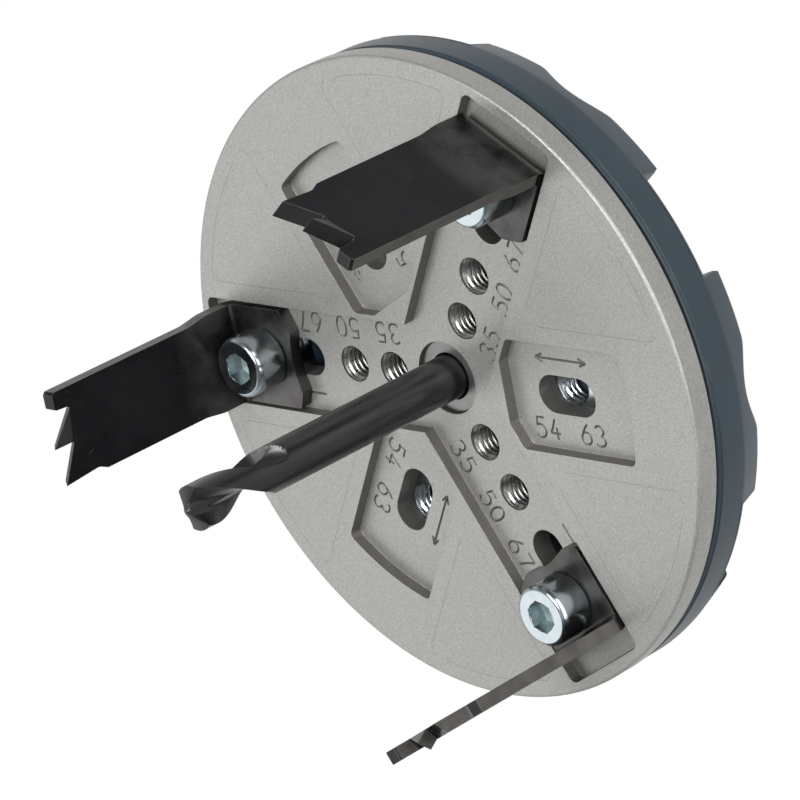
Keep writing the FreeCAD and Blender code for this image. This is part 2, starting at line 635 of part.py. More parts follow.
def build_blade(label, angle):
    body = new_body(label)
    side = new_sketch(body, "BladeProfile", "XZ_Plane")
    polygon(side, [(-at.foot_tail, foot_low), (leg_outer, foot_low), (leg_outer, at.tooth_height),
                   (leg_inner, at.tooth_height), (leg_inner, foot_top), (-at.foot_tail, foot_top)])
    strip = pad(body, "Strip", side, at.blade_width, both=True)
    outer_x, outer_z = leg_outer.value, foot_low.value
    inner_x, inner_z = leg_inner.value, foot_top.value

    def bend(x, z):
        def test(edge):
            return all(abs(v.Point.x - x) < 1e-3 and abs(v.Point.z - z) < 1e-3 for v in edge.Vertexes)
        return test

    inner = dress(body, "Fillet", "InnerBend", strip, bend(inner_x, inner_z), at.bend_radius)
    outer_round = at.bend_radius + at.blade_thickness
    dress(body, "Fillet", "OuterBend", inner, bend(outer_x, outer_z), outer_round)
    # the middle tooth, bent outward from the leg
    high = at.tooth_height + OVERRUN
    gap = new_sketch(body, "SetGapOutline", "YZ_Plane", leg_inner - OVERRUN)
    polygon(gap, [(set_right, set_root), (set_left, set_root), (set_left, high), (set_right, high)])
    pocket(body, "SetGap", gap, blade_clear, back=True)
    bent = new_sketch(body, "SetToothOutline", "XZ_Plane", -set_left)
    polygon(bent, [(leg_inner, set_root), (leg_outer, set_root), (leg_outer + set_shift, high),
                   (leg_inner + set_shift, high)])
    pad(body, "SetTooth", bent, set_left - set_right)
    # side view of the leg: shoulders, raker and two teeth
    teeth = new_sketch(body, "ToothCutOutline", "YZ_Plane", leg_inner - OVERRUN)
    wide = half_blade + OVERRUN
    polygon(teeth, [
        (-half_leg, at.shoulder_high), (-half_leg, at.raker_height), (raker_edge, at.raker_height),
        (gullet_one, at.gullet_height), (tip_one, at.tooth_height), (gullet_two, at.gullet_height),
        (tip_two, at.tooth_height), (half_leg - at.lead_step, at.lead_step_high),
        (half_leg, at.lead_step_low), (half_leg, at.shoulder_high), (half_blade, at.shoulder_low),
        (wide, at.shoulder_low), (wide, high), (-wide, high), (-wide, at.shoulder_low),
        (-half_blade, at.shoulder_low)])
    pocket(body, "ToothCut", teeth, blade_clear, back=True)
    # foot: shallow notch in its tail, cut corners, screw hole
    tail = new_sketch(body, "TailOutline", "XY_Plane", foot_top + OVERRUN)
    behind = -(at.foot_tail + OVERRUN)
    right_corner = -(at.foot_tail - at.corner_right)
    left_corner = -(at.foot_tail - at.corner_left)
    polygon(tail, [
        (behind, -wide), (right_corner, -wide), (right_corner, -half_blade),
        (-(at.foot_tail - at.foot_slant), -(half_blade * TAIL_RIGHT)), (-(at.foot_tail - at.foot_notch), 0),
        (-at.foot_tail, half_blade * TAIL_LEFT), (left_corner, half_blade), (left_corner, wide),
        (behind, wide)])
    pocket(body, "TailCut", tail, at.blade_thickness + OVERRUN * 2)
    hole = new_sketch(body, "HoleOutline", "XY_Plane", foot_top + OVERRUN)
    circle(hole, 0, 0, at.blade_hole / 2)
    pocket(body, "ScrewHole", hole, at.blade_thickness + OVERRUN * 2)
    place(body, set_radius, angle)


for tag, angle in ARMS:
    build_blade("blade_" + tag, angle)

# Socket screws that clamp the blades


def build_screw(label, angle):
    body = new_body(label)
    radius = at.head_diameter / 2
    top = foot_top + at.head_height
    tip = plate_back + at.screw_tip_gap
    turned(body, "Turned", [
        (0, top), (radius - at.head_chamfer, top), (radius, top - at.head_chamfer), (radius, foot_top),
        (at.thread_diameter / 2, foot_top), (at.thread_diameter / 2, tip + at.screw_tip_chamfer),
        (at.thread_diameter / 2 - at.screw_tip_chamfer, tip), (0, tip)])
    socket = new_sketch(body, "SocketOutline", "XY_Plane", top)
    hexagon(socket, at.head_socket)
    pocket(body, "Socket", socket, at.head_socket_depth)
    place(body, set_radius, angle)


# Square nuts that slide in the ways behind the plate


def build_nut(label, radius, angle):
    body = new_body(label)
    half = at.nut_size / 2
    outline = new_sketch(body, "NutOutline", "XY_Plane", nut_seat)
    polygon(outline, [(-half, -half), (half, -half), (half, half), (-half, half)])
    pad(body, "NutBlock", outline, at.nut_thickness, back=True)
    thread = new_sketch(body, "ThreadOutline", "XY_Plane", nut_seat)
    circle(thread, 0, 0, at.thread_diameter / 2 + at.thread_fit)
    pocket(body, "Thread", thread)
    place(body, radius, angle)


for tag, angle in ARMS:
    build_screw("blade_screw_" + tag, angle)
    build_nut("blade_nut_" + tag, set_radius, angle)
build_nut("spare_nut_a", at.spare_nut_a, 60)
build_nut("spare_nut_b", at.spare_nut_b, 180)
build_nut("spare_nut_c", at.spare_nut_c, 300)

# Slotted countersunk screws that hold the cover


def build_cover_screw(label, angle):
    body = new_body(label)
    radius = at.cover_screw_head / 2
    rod_radius = at.cover_screw_diameter / 2
    cone = radius - rod_radius
    turned(body, "Turned", [
        (0, cover_back), (radius, cover_back), (rod_radius, cover_back + cone),
        (rod_radius, cover_back + at.cover_screw_length), (0, cover_back + at.cover_screw_length)])
    slot = new_sketch(body, "DriverSlot", "XY_Plane", cover_back)
    wide = at.cover_screw_slot / 2
    long = radius + OVERRUN
    polygon(slot, [(-long, -wide), (long, -wide), (long, wide), (-long, wide)])
    pocket(body, "DriverSlotCut", slot, at.cover_screw_slot_depth, back=True)
    place(body, at.cover_screw_circle, angle)


for tag, angle in (("a", 90), ("b", 210), ("c", 330)):
    build_cover_screw("cover_screw_" + tag, angle)

# Check every object, then write each piece

doc.recompute()
failed = [item.Name for item in doc.Objects if "Invalid" in item.State or "Error" in item.State]
if failed:
    raise RuntimeError("features that failed: " + ", ".join(failed))
bodies = [item for item in doc.Objects if item.TypeId == "PartDesign::Body" and item.Name != "drill_rod"]
bodies.append(drill)
for body in bodies:
    if body.Shape.isNull() or not body.Shape.isValid():
        raise RuntimeError("piece with no valid shape: " + body.Label)
    if len(body.Shape.Solids) != 1:
        raise RuntimeError("piece that isn't one solid: %s has %d" % (body.Label, len(body.Shape.Solids)))
for body in bodies:
    body.Shape.exportStep("parts/%s.step" % body.Label)
    print(body.Label, "volume %.1f" % body.Shape.Volume)
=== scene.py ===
import math

import bmesh
import bpy
from mathutils import Matrix, Vector


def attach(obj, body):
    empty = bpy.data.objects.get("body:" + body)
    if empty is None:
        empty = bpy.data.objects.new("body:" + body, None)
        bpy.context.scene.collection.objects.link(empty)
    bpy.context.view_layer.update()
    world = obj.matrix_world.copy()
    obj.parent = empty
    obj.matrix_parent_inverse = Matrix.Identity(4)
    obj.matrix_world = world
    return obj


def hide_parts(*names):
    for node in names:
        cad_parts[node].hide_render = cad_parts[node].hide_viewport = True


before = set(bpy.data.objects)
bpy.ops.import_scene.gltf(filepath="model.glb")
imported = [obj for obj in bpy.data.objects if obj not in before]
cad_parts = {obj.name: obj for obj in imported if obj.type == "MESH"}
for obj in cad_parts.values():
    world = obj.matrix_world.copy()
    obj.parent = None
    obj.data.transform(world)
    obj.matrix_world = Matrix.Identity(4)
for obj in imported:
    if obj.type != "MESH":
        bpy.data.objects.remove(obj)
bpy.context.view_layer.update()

# Sizes in millimetres. Heights are measured from the plate's front face, which is FRONT above the origin.
MM = 0.001
FRONT = 16.0
ARMS = {"a": 0, "b": 120, "c": 240}
SEATS = {"a": 60, "b": 180, "c": 300}
SET_RADIUS = 32.9
NUT_RADIUS = {"a": 21.4, "b": 23.2, "c": 19.6}

# The plate's blank
PLATE_RADIUS = 44.3
RIM = 3.45
BACK = -8.0
SPIGOT = 41.2
ROUND_STEPS = 288
# Channels along the arms, and seats between them
CHANNEL_HALF = 7.5
DEPTH = 1.7
CHANNEL_END = 42.4
SEAT_START = 12.0
SEAT_END = 33.8
RIDGE = 0.75
# Slots from the centre of one end to that of the other, tapped holes, and the hub
ARM_SLOT = (25.7, 35.0)
SEAT_SLOT = (19.2, 23.7)
SLOT_RADIUS = 2.6
TAPPED_AT = (9.7, 17.2)
TAPPED_RADIUS = 2.5
HUB_RADIUS = 5.0
# Ways for the nuts, open to the back
NUT_SEAT = -4.9
ARM_WAY = (21.4, 39.3)
SEAT_WAY = (14.9, 28.0)
WAY_HALF = 4.3
# How far a cutting tool reaches past the face
ABOVE = 1.0
COS30 = math.cos(math.radians(30))


# Meshes


def put(name, data):
    """A new object in the scene."""
    obj = bpy.data.objects.new(name, data)
    bpy.context.collection.objects.link(obj)
    return obj


def make(name, verts, faces):
    """A new object from points in millimetres above the plate's front face."""
    mesh = bpy.data.meshes.new(name)
    mesh.from_pydata([(x * MM, y * MM, (z + FRONT) * MM) for x, y, z in verts], [], faces)
    mesh.validate()
    return put(name, mesh)


def turned(name, profile, steps=128, closed=True):
    """A solid turned about Z from (radius, height) points. Its two ends are capped unless it is closed."""
    verts = []
    faces = []
    for r, z in profile:
        for i in range(steps):
            a = 2 * math.pi * i / steps
            verts.append((r * math.cos(a), r * math.sin(a), z))
    count = len(profile)
    rings = count if closed else count - 1
    for n in range(rings):
        m = (n + 1) % count
        for i in range(steps):
            j = (i + 1) % steps
            faces.append((n * steps + i, n * steps + j, m * steps + j, m * steps + i))
    if not closed:
        faces.append(tuple(range(steps))[::-1])
        faces.append(tuple((count - 1) * steps + i for i in range(steps)))
    obj = make(name, verts, faces)
    outward(obj)
    return obj


def prism(name, outline, low, high):
    """An upright prism between two heights."""
    count = len(outline)
    verts = [(x, y, low) for x, y in outline] + [(x, y, high) for x, y in outline]
    faces = [tuple(range(count))[::-1], tuple(range(count, 2 * count))]
    for i in range(count):
        j = (i + 1) % count
        faces.append((i, j, count + j, count + i))
    obj = make(name, verts, faces)
    outward(obj)
    return obj


def outward(obj):
    """Turn all the faces of closed shells outwards."""
    bm = bmesh.new()
    bm.from_mesh(obj.data)
    bmesh.ops.recalc_face_normals(bm, faces=bm.faces)
    if bm.calc_volume(signed=True) < 0:
        bmesh.ops.reverse_faces(bm, faces=bm.faces)
    bm.to_mesh(obj.data)
    bm.free()


def turn(obj, degrees):
    """Turn an object's points about the tool axis."""
    obj.data.transform(Matrix.Rotation(math.radians(degrees), 4, "Z"))
    return obj


def drop(obj):
    bpy.data.objects.remove(obj, do_unlink=True)


def apply_all(obj):
    """Turn an object's modifiers into its mesh."""
    bpy.context.view_layer.update()
    graph = bpy.context.evaluated_depsgraph_get()
    mesh = bpy.data.meshes.new_from_object(obj.evaluated_get(graph))
    obj.modifiers.clear()
    obj.data = mesh


def join(name, objs):
    """One object from several, each kept as its own closed shell."""
    bm = bmesh.new()
    for obj in objs:
        bm.from_mesh(obj.data)
    mesh = bpy.data.meshes.new(name)
    bm.to_mesh(mesh)
    bm.free()
    for obj in objs:
        drop(obj)
    return put(name, mesh)


def combine(obj, tool, operation="DIFFERENCE"):
    """Cut a tool from an object, or add it, and drop the tool. Cut faces take the tool's material."""
    mod = obj.modifiers.new("Combine", "BOOLEAN")
    mod.object = tool
    mod.operation = operation
    mod.solver = "EXACT"
    mod.material_mode = "TRANSFER"
    apply_all(obj)
    drop(tool)


def close(obj):
    """Join the points of open edges that fall together after a cut."""
    bm = bmesh.new()
    bm.from_mesh(obj.data)
    verts = [v for v in bm.verts if any(len(edge.link_faces) != 2 for edge in v.link_edges)]
    bmesh.ops.remove_doubles(bm, verts=verts, dist=0.000003)
    bmesh.ops.dissolve_degenerate(bm, edges=bm.edges, dist=0.000001)
    bm.to_mesh(obj.data)
    bm.free()


def clean(obj):
    """Join points that fall together and drop needless edges across flat faces."""
    bm = bmesh.new()
    bm.from_mesh(obj.data)
    bmesh.ops.remove_doubles(bm, verts=bm.verts, dist=0.000004)
    bmesh.ops.dissolve_limit(bm, angle_limit=math.radians(0.4), verts=bm.verts, edges=bm.edges,
                             delimit={"MATERIAL"})
    bm.to_mesh(obj.data)
    bm.free()


def bevel(obj, width, segments=2, angle=30.0):
    """Round every edge that is sharper than an angle."""
    mod = obj.modifiers.new("Edges", "BEVEL")
    mod.width = width * MM
    mod.segments = segments
    mod.limit_method = "ANGLE"
    mod.angle_limit = math.radians(angle)
    mod.miter_outer = "MITER_ARC"
    apply_all(obj)


def round_edges(obj, width, below):
    """Round the outward corners that lie lower than a height above the origin."""
    bm = bmesh.new()
    bm.from_mesh(obj.data)
    weight = bm.edges.layers.float.new("bevel_weight_edge")
    for edge in bm.edges:
        if len(edge.link_faces) == 2 and edge.calc_face_angle_signed(0.0) > math.radians(33):
            if max(v.co.z for v in edge.verts) < below * MM:
                edge[weight] = 1.0
    bm.to_mesh(obj.data)
    bm.free()
    mod = obj.modifiers.new("Round", "BEVEL")
    mod.limit_method = "WEIGHT"
    mod.width = width * MM
    mod.segments = 3
    mod.use_clamp_overlap = False
    apply_all(obj)


def sharp_borders(mesh):
    """Edges where one finish meets another, as round an engraved line."""
    seen = {}
    for face in mesh.polygons:
        for key in face.edge_keys:
            seen.setdefault(key, set()).add(face.material_index)
    return [edge for edge in mesh.edges if len(seen.get(edge.key, ())) > 1]


def smooth(obj, angle=35.0):
    """Smooth shading broken at sharp edges, with large flat faces kept flat."""
    mesh = obj.data
    mesh.shade_smooth()
    mesh.set_sharp_from_angle(angle=math.radians(angle))
    for edge in sharp_borders(mesh):
        edge.use_edge_sharp = True
    mod = obj.modifiers.new("Normals", "WEIGHTED_NORMAL")
    mod.keep_sharp = True
    mod.weight = 100


def arc(cx, cy, rx, ry, start, end, count):
    """Points along part of an ellipse, from one angle to another."""
    points = []
    for i in range(count + 1):
        a = math.radians(start + (end - start) * i / count)
        points.append((cx + rx * math.cos(a), cy + ry * math.sin(a)))
    return points


def rounded(corners, radii, steps=8):
    """A closed outline whose corners are rounded by the given radii."""
    count = len(corners)
    outline = []
    for i in range(count):
        p = Vector(corners[i])
        before = Vector(corners[i - 1]) - p
        after = Vector(corners[(i + 1) % count]) - p
        r = radii[i]
        if r <= 0:
            outline.append(tuple(p))
            continue
        a = before.normalized()
        b = after.normalized()
        half = a.angle(b) / 2
        reach = r / math.tan(half)
        centre = p + (a + b).normalized() * (r / math.sin(half))
        start = p + a * reach - centre
        end = p + b * reach - centre
        swing = start.angle_signed(end)
        for k in range(steps + 1):
            t = -swing * k / steps
            c, s = math.cos(t), math.sin(t)
            outline.append((centre.x + start.x * c - start.y * s, centre.y + start.x * s + start.y * c))
    return outline


def circle(x, radius, count, start=0):
    return arc(x, 0, radius, radius, start, start + 360, count)[:-1]


def box(low, high, half):
    """A rectangle along X, as wide to each side as half says."""
    return [(low, -half), (high, -half), (high, half), (low, half)]


def spun(outline, degrees):
    """An outline turned about the tool axis."""
    c, s = math.cos(math.radians(degrees)), math.sin(math.radians(degrees))
    return [(x * c - y * s, x * s + y * c) for x, y in outline]


def slot_outline(low, high, radius):
    return arc(high, 0, radius, radius, -90, 90, 16) + arc(low, 0, radius, radius, 90, 270, 16)


# Camera: fitted to the photograph

camera_data = bpy.data.cameras.new("camera")
camera = put("camera", camera_data)
camera_data.sensor_width = 36.0
camera_data.lens = 207.608
camera_data.clip_start = 0.01
camera_data.clip_end = 10.0
camera.rotation_mode = "QUATERNION"
camera.location = (0.37624, -0.265225, 0.394744)
camera.rotation_quaternion = (0.77151127, 0.02988101, 0.43003099, -0.46792182)
bpy.context.scene.camera = camera
bpy.context.scene.view_settings.view_transform = "Standard"


# Materials: noise is given in cells to a metre, and the depth of a bump in metres

GRAIN_DEPTH = 0.00003


class Nodes:
    """A material's node tree, with short calls for the nodes used here."""

    def __init__(self, name):
        self.material = bpy.data.materials.new(name)
        self.material.use_nodes = True
        self.tree = self.material.node_tree
        self.shader = self.tree.nodes["Principled BSDF"]
        self.where = self.node("ShaderNodeTexCoord").outputs["Object"]

    def node(self, kind, **settings):
        made = self.tree.nodes.new(kind)
        for key, value in settings.items():
            setattr(made, key, value)
        return made

    def link(self, a, b):
        self.tree.links.new(a, b)

    def feed(self, value, socket):
        """Give a socket a number, a colour or a link."""
        if isinstance(value, (float, int)):
            socket.default_value = value
        elif isinstance(value, tuple):
            socket.default_value = (*value, 1.0)
        else:
            self.link(value, socket)

    def noise(self, scale, detail=3.0, roughness=0.55, stretch=None, distortion=0.0):
        """Noise in the object's own frame, drawn out where stretch is below 1."""
        made = self.node("ShaderNodeTexNoise")
        made.inputs["Scale"].default_value = scale
        made.inputs["Detail"].default_value = detail
        made.inputs["Roughness"].default_value = roughness
        made.inputs["Distortion"].default_value = distortion
        if stretch:
            mapping = self.node("ShaderNodeMapping")
            mapping.inputs["Scale"].default_value = stretch
            self.link(self.where, mapping.inputs["Vector"])
            self.link(mapping.outputs["Vector"], made.inputs["Vector"])
        else:
            self.link(self.where, made.inputs["Vector"])
        return made.outputs["Fac"]

    def ramp(self, source, dark, light):
        """One colour where the source is low, another one where it is high."""
        made = self.node("ShaderNodeValToRGB")
        for mark, (place, colour) in zip(made.color_ramp.elements, (dark, light)):
            mark.position = place
            mark.color = (*colour, 1.0)
        self.link(source, made.inputs["Fac"])
        return made.outputs["Color"]

    def range(self, source, low, high, start=0.0, end=1.0):
        made = self.node("ShaderNodeMapRange")
        made.inputs["From Min"].default_value = start
        made.inputs["From Max"].default_value = end
        made.inputs["To Min"].default_value = low
        made.inputs["To Max"].default_value = high
        self.link(source, made.inputs["Value"])
        return made.outputs["Result"]

    def mix(self, factor, a, b):
        made = self.node("ShaderNodeMix", data_type="RGBA")
        for value, name in ((factor, "Factor"), (a, "A"), (b, "B")):
            self.feed(value, made.inputs[name])
        return [out for out in made.outputs if out.type == "RGBA"][0]

    def height(self):
        """The height above the origin."""
        made = self.node("ShaderNodeSeparateXYZ")
        self.link(self.where, made.inputs[0])
        return made.outputs[2]

    def bump(self, height, strength, distance, under=None):
        made = self.node("ShaderNodeBump")
        made.inputs["Strength"].default_value = strength
        made.inputs["Distance"].default_value = distance
        self.link(height, made.inputs["Height"])
        if under is not None:
            self.link(under, made.inputs["Normal"])
        return made.outputs["Normal"]

    def set(self, **values):
        """Set the shader's inputs, with _ for a space in their names."""
        for key, value in values.items():
            self.feed(value, self.shader.inputs[key.replace("_", " ")])
        return self.material


def die_cast(name, light, tint=(1.0, 1.0, 1.0), metal=0.75, speckle=1.0):
    """Blasted casting: fine light and dark grain over soft clouds."""
    n = Nodes(name)
    grain = n.noise(3300, 3.0, 0.65)
    fine = n.noise(8200, 2.0, 0.6)
    cloud = n.noise(95, 4.0, 0.6)
    stain = n.noise(380, 3.0, 0.65, distortion=0.6)

    def tone(value):
        return tuple(value * light * part for part in tint)

    colour = n.ramp(cloud, (0.3, tone(0.405)), (0.7, tone(0.45)))
    colour = n.mix(n.range(stain, 0.0, 0.4, 0.6, 0.74), colour, tone(0.33))
    colour = n.mix(n.range(grain, 0.0, 0.55 * speckle, 0.52, 0.72), colour, tone(0.62))
    colour = n.mix(n.range(grain, 0.6 * speckle, 0.0, 0.28, 0.47), colour, tone(0.27))
    colour = n.mix(n.range(fine, 0.45 * speckle, 0.0, 0.3, 0.5), colour, tone(0.30))
    rough = n.range(cloud, 0.42, 0.54, 0.3, 0.7)
    normal = n.bump(grain, 0.5 * speckle, 0.00008)
    normal = n.bump(fine, 0.35 * speckle, 0.00004, normal)
    return n.set(Base_Color=colour, Metallic=metal, Roughness=rough, Normal=normal)


def cover_plastic():
    n = Nodes("petrol_plastic")
    grain = n.noise(3600, 2.0, 0.5)
    cloud = n.noise(60, 3.0, 0.5)
    colour = n.ramp(cloud, (0.3, (0.020, 0.034, 0.045)), (0.7, (0.025, 0.041, 0.053)))
    rough = n.range(cloud, 0.36, 0.46)
    normal = n.bump(grain, 0.18, 0.00005)
    return n.set(Base_Color=colour, Roughness=rough, Normal=normal, Specular_IOR_Level=0.5)


def black_oxide(name, stretch=None, gloss=0.2, painted_sheen=None):
    """Oiled black steel. Between two heights, given in the last argument, the colour lightens and turns
    metallic towards the clamped foot: a painted sheen.
    """
    n = Nodes(name)
    cloud = n.noise(140, 4.0, 0.6, stretch=stretch)
    grain = n.noise(4200, 2.0, 0.6)
    scratch = n.noise(900, 2.0, 0.7, stretch=(0.15, 2.2, 0.4), distortion=0.4)
    rust = n.noise(260, 3.0, 0.6)
    colour = n.ramp(cloud, (0.3, (0.0026, 0.0030, 0.0044)), (0.7, (0.0070, 0.0072, 0.0088)))
    colour = n.mix(n.range(rust, 0.0, 0.5, 0.55, 0.75), colour, (0.015, 0.012, 0.010))
    colour = n.mix(n.range(scratch, 0.0, 0.35, 0.72, 0.78), colour, (0.06, 0.06, 0.06))
    rough = n.range(cloud, 0.22, 0.38, 0.3, 0.7)
    normal = n.bump(grain, 0.10, GRAIN_DEPTH)
    metal = 0.0
    if painted_sheen:
        patch = n.range(cloud, 0.75, 1.0, 0.35, 0.65)
        sheen_tone = n.ramp(patch, (0.76, (0.038, 0.036, 0.034)), (0.98, (0.115, 0.112, 0.110)))
        colour = n.mix(n.range(n.height(), 1.0, 0.0, *painted_sheen), colour, sheen_tone)
        metal = n.range(n.height(), 0.85, 0.0, *painted_sheen)
    return n.set(Base_Color=colour, Roughness=rough, Normal=normal, Metallic=metal, Specular_IOR_Level=gloss)


# Lighter steel for the blades' sides and narrow edge faces: partly bare sheared steel, partly painted
# highlight.
def sheared_edge_and_highlight():
    n = Nodes("sheared_steel_edge_and_painted_highlight")
    streak = n.noise(2600, 3.0, 0.6, stretch=(1.0, 1.0, 0.12))
    cloud = n.noise(240, 3.0, 0.6)
    colour = n.ramp(cloud, (0.3, (0.070, 0.066, 0.061)), (0.7, (0.115, 0.108, 0.100)))
    colour = n.mix(n.range(streak, 0.0, 0.5, 0.5, 0.75), colour, (0.045, 0.040, 0.036))
    rough = n.range(streak, 0.34, 0.5, 0.3, 0.7)
    normal = n.bump(streak, 0.12, GRAIN_DEPTH)
    return n.set(Base_Color=colour, Roughness=rough, Normal=normal, Metallic=0.35, Specular_IOR_Level=0.4)


def zinc(name, cells, dark, light, rough, relief, metal):
    """Bright zinc plate. Roughness goes from the first number of rough to the second."""
    n = Nodes(name)
    cloud = n.noise(cells, 3.0, 0.6)
    grain = n.noise(7000, 2.0, 0.5)
    colour = n.ramp(cloud, (0.3, dark), (0.7, light))
    rough = n.range(cloud, *rough, 0.3, 0.7)
    normal = n.bump(grain, relief, GRAIN_DEPTH)
    return n.set(Base_Color=colour, Metallic=metal, Roughness=rough, Normal=normal)


def thread_metal():
    """Bright cut aluminium, painted darker down the holes: painted shade."""
    n = Nodes("cut_aluminium")
    cloud = n.noise(700, 3.0, 0.6)
    grain = n.noise(9000, 2.0, 0.5)
    colour = n.ramp(cloud, (0.3, (0.34, 0.335, 0.325)), (0.7, (0.44, 0.435, 0.42)))
    painted_hole_shade = n.range(n.height(), 0.92, 0.0, (FRONT - 7.2) * MM, (FRONT - 2.2) * MM)
    colour = n.mix(painted_hole_shade, colour, (0.05, 0.048, 0.046))
    rough = n.range(cloud, 0.24, 0.34, 0.3, 0.7)
    normal = n.bump(grain, 0.06, GRAIN_DEPTH)
    return n.set(Base_Color=colour, Metallic=1.0, Roughness=rough, Normal=normal)


def turned_steel():
    n = Nodes("turned_steel")
    rings = n.noise(60, 4.0, 0.7, stretch=(0.4, 0.4, 60.0))
    cloud = n.noise(300, 3.0, 0.6)
    colour = n.ramp(cloud, (0.3, (0.24, 0.24, 0.235)), (0.7, (0.31, 0.305, 0.30)))
    rough = n.range(rings, 0.36, 0.5, 0.3, 0.7)
    normal = n.bump(rings, 0.12, 0.00004)
    return n.set(Base_Color=colour, Metallic=1.0, Roughness=rough, Normal=normal)


# The darker copies of the casting paint shade: on the upright walls, along the panel lines and in the
# engraved strokes.
DIE_CAST = die_cast("die_cast_aluminium", 0.97, (1.0, 1.0, 0.955))
SHADED_CAST_WALL = die_cast("die_cast_wall_painted_shade", 0.36, (1.06, 1.0, 0.92), 0.5, 0.7)
SHADED_PANEL_LINE = die_cast("die_cast_panel_line_painted_shade", 0.74, (1.0, 1.0, 0.955))
SHADED_ENGRAVING = die_cast("die_cast_engraved_painted_shade", 0.33, (1.04, 1.0, 0.94), 0.6, 0.5)
PLASTIC = cover_plastic()
BLACK = black_oxide("black_oxide_blade", painted_sheen=((FRONT + 1.5) * MM, (FRONT + 11) * MM))
EDGE_HIGHLIGHT = sheared_edge_and_highlight()
DRILL_BLACK = black_oxide("black_oxide_drill", stretch=(1.0, 1.0, 0.35), gloss=1.0)
ZINC = zinc("zinc_plate", 500, (0.39, 0.45, 0.47), (0.49, 0.53, 0.56), (0.15, 0.25), 0.04, 1.0)
SOCKET_HIGHLIGHT = zinc("zinc_plate_socket_painted_highlight", 900, (0.50, 0.63, 0.62), (0.68, 0.80, 0.79), (0.26, 0.38), 0.05, 0.78)
CUT_METAL = thread_metal()
TURNED = turned_steel()


def dress(obj, material):
    """Give an object one material."""
    obj.data.materials.clear()
    obj.data.materials.append(material)


# Plate: a turned blank with three channels, three seats between them, slots, holes and ways for the nuts

plate = turned("plate", [
    (PLATE_RADIUS - 0.42, 0.0), (PLATE_RADIUS - 0.2, -0.05), (PLATE_RADIUS - 0.05, -0.2),
    (PLATE_RADIUS, -0.42), (PLATE_RADIUS, -RIM + 0.15), (PLATE_RADIUS - 0.15, -RIM),
    (SPIGOT, -RIM), (SPIGOT, BACK)], ROUND_STEPS, closed=False)
dress(plate, DIE_CAST)
fork = CHANNEL_HALF / math.sin(math.radians(60))
arm = box(0, CHANNEL_END, CHANNEL_HALF)
arms_outline = []
for degrees in ARMS.values():
    arms_outline += spun(rounded(arm, [0, 1.0, 1.0, 0])[1:-1], degrees) + spun([(fork, 0)], degrees + 60)
combine(plate, prism("channels", arms_outline, -DEPTH, ABOVE))

# A seat is as wide as a channel, and its bevelled inner corners leave a ridge beside the arms.
ridge = CHANNEL_HALF + RIDGE
corner_y = (SEAT_START * COS30 - ridge) * 2
corner_x = (ridge + CHANNEL_HALF / 2) / COS30
spread = math.degrees(math.atan2(CHANNEL_HALF, math.sqrt(SEAT_END ** 2 - CHANNEL_HALF ** 2)))
swing = arc(0, 0, SEAT_END, SEAT_END, -spread, spread, 16)
corners = [(SEAT_START, -corner_y), (corner_x, -CHANNEL_HALF)] + swing
corners += [(corner_x, CHANNEL_HALF), (SEAT_START, corner_y)]
radii = [0.6, 1.0, 0.85] + [0] * (len(swing) - 2) + [0.85, 1.0, 0.6]
for degrees in SEATS.values():
    combine(plate, prism("seat", spun(rounded(corners, radii, 6), degrees), -DEPTH, ABOVE))

for spokes, way in ((ARMS, ARM_WAY), (SEATS, SEAT_WAY)):
    for degrees in spokes.values():
        combine(plate, prism("way", spun(box(*way, WAY_HALF), degrees), BACK - 1, NUT_SEAT))
through = []
for degrees in ARMS.values():
    through.append(prism("slot", spun(slot_outline(*ARM_SLOT, SLOT_RADIUS), degrees), BACK - 2, 2.0))
    for radius in TAPPED_AT:
        through.append(prism("hole", spun(circle(radius, TAPPED_RADIUS, 48), degrees), BACK - 2, 2.0))
for degrees in SEATS.values():
    through.append(prism("slot", spun(slot_outline(*SEAT_SLOT, SLOT_RADIUS), degrees), BACK - 2, 2.0))
through.append(prism("hub", circle(0, HUB_RADIUS, 96), BACK - 2, 2.0))
combine(plate, join("through", through))
clean(plate)
bevel(plate, 0.16, 2)


# Engraved numbers and arrows: single strokes cut into the floors

STROKE = 0.19
STROKE_RUN = 0.08
STROKE_RISE = 0.126
DIGIT = 2.8
GLYPH_WIDTH = 0.6
ADVANCE = 0.88


def swept(name, points, section, rise=None):
    """A closed tube along a flat line. Its section is (sideways, height) points, lifted at each point."""
    count = len(points)
    size = len(section)
    verts = []
    faces = []
    for n, (x, y) in enumerate(points):
        (ax, ay), (bx, by) = points[max(0, n - 1)], points[min(count - 1, n + 1)]
        length = math.hypot(bx - ax, by - ay)
        dx, dy = (bx - ax) / length, (by - ay) / length
        lift = rise[n] if rise else 0.0
        verts += [(x - dy * side, y + dx * side, up + lift) for side, up in section]
    for n in range(count - 1):
        for k in range(size):
            j = (k + 1) % size
            faces.append((n * size + k, n * size + j, (n + 1) * size + j, (n + 1) * size + k))
    faces.append(tuple(range(size))[::-1])
    faces.append(tuple(range(len(verts) - size, len(verts))))
    obj = make(name, verts, faces)
    outward(obj)
    return obj


def groove_tool(points):
    """A tube with six sides along a line in the floor. Its ends rise out of the floor over a short run."""
    near = []
    for (x, y), (bx, by) in ((points[0], points[1]), (points[-1], points[-2])):
        away = math.hypot(x - bx, y - by)
        near.append((x + (bx - x) * STROKE_RUN / away, y + (by - y) * STROKE_RUN / away))
    points = [points[0], near[0]] + points[1:-1] + [near[1], points[-1]]
    rise = [STROKE_RISE] + [0.0] * (len(points) - 2) + [STROKE_RISE]
    section = [(side, up - DEPTH) for side, up in circle(0, STROKE, 6, 30)]
    return swept("groove", points, section, rise)


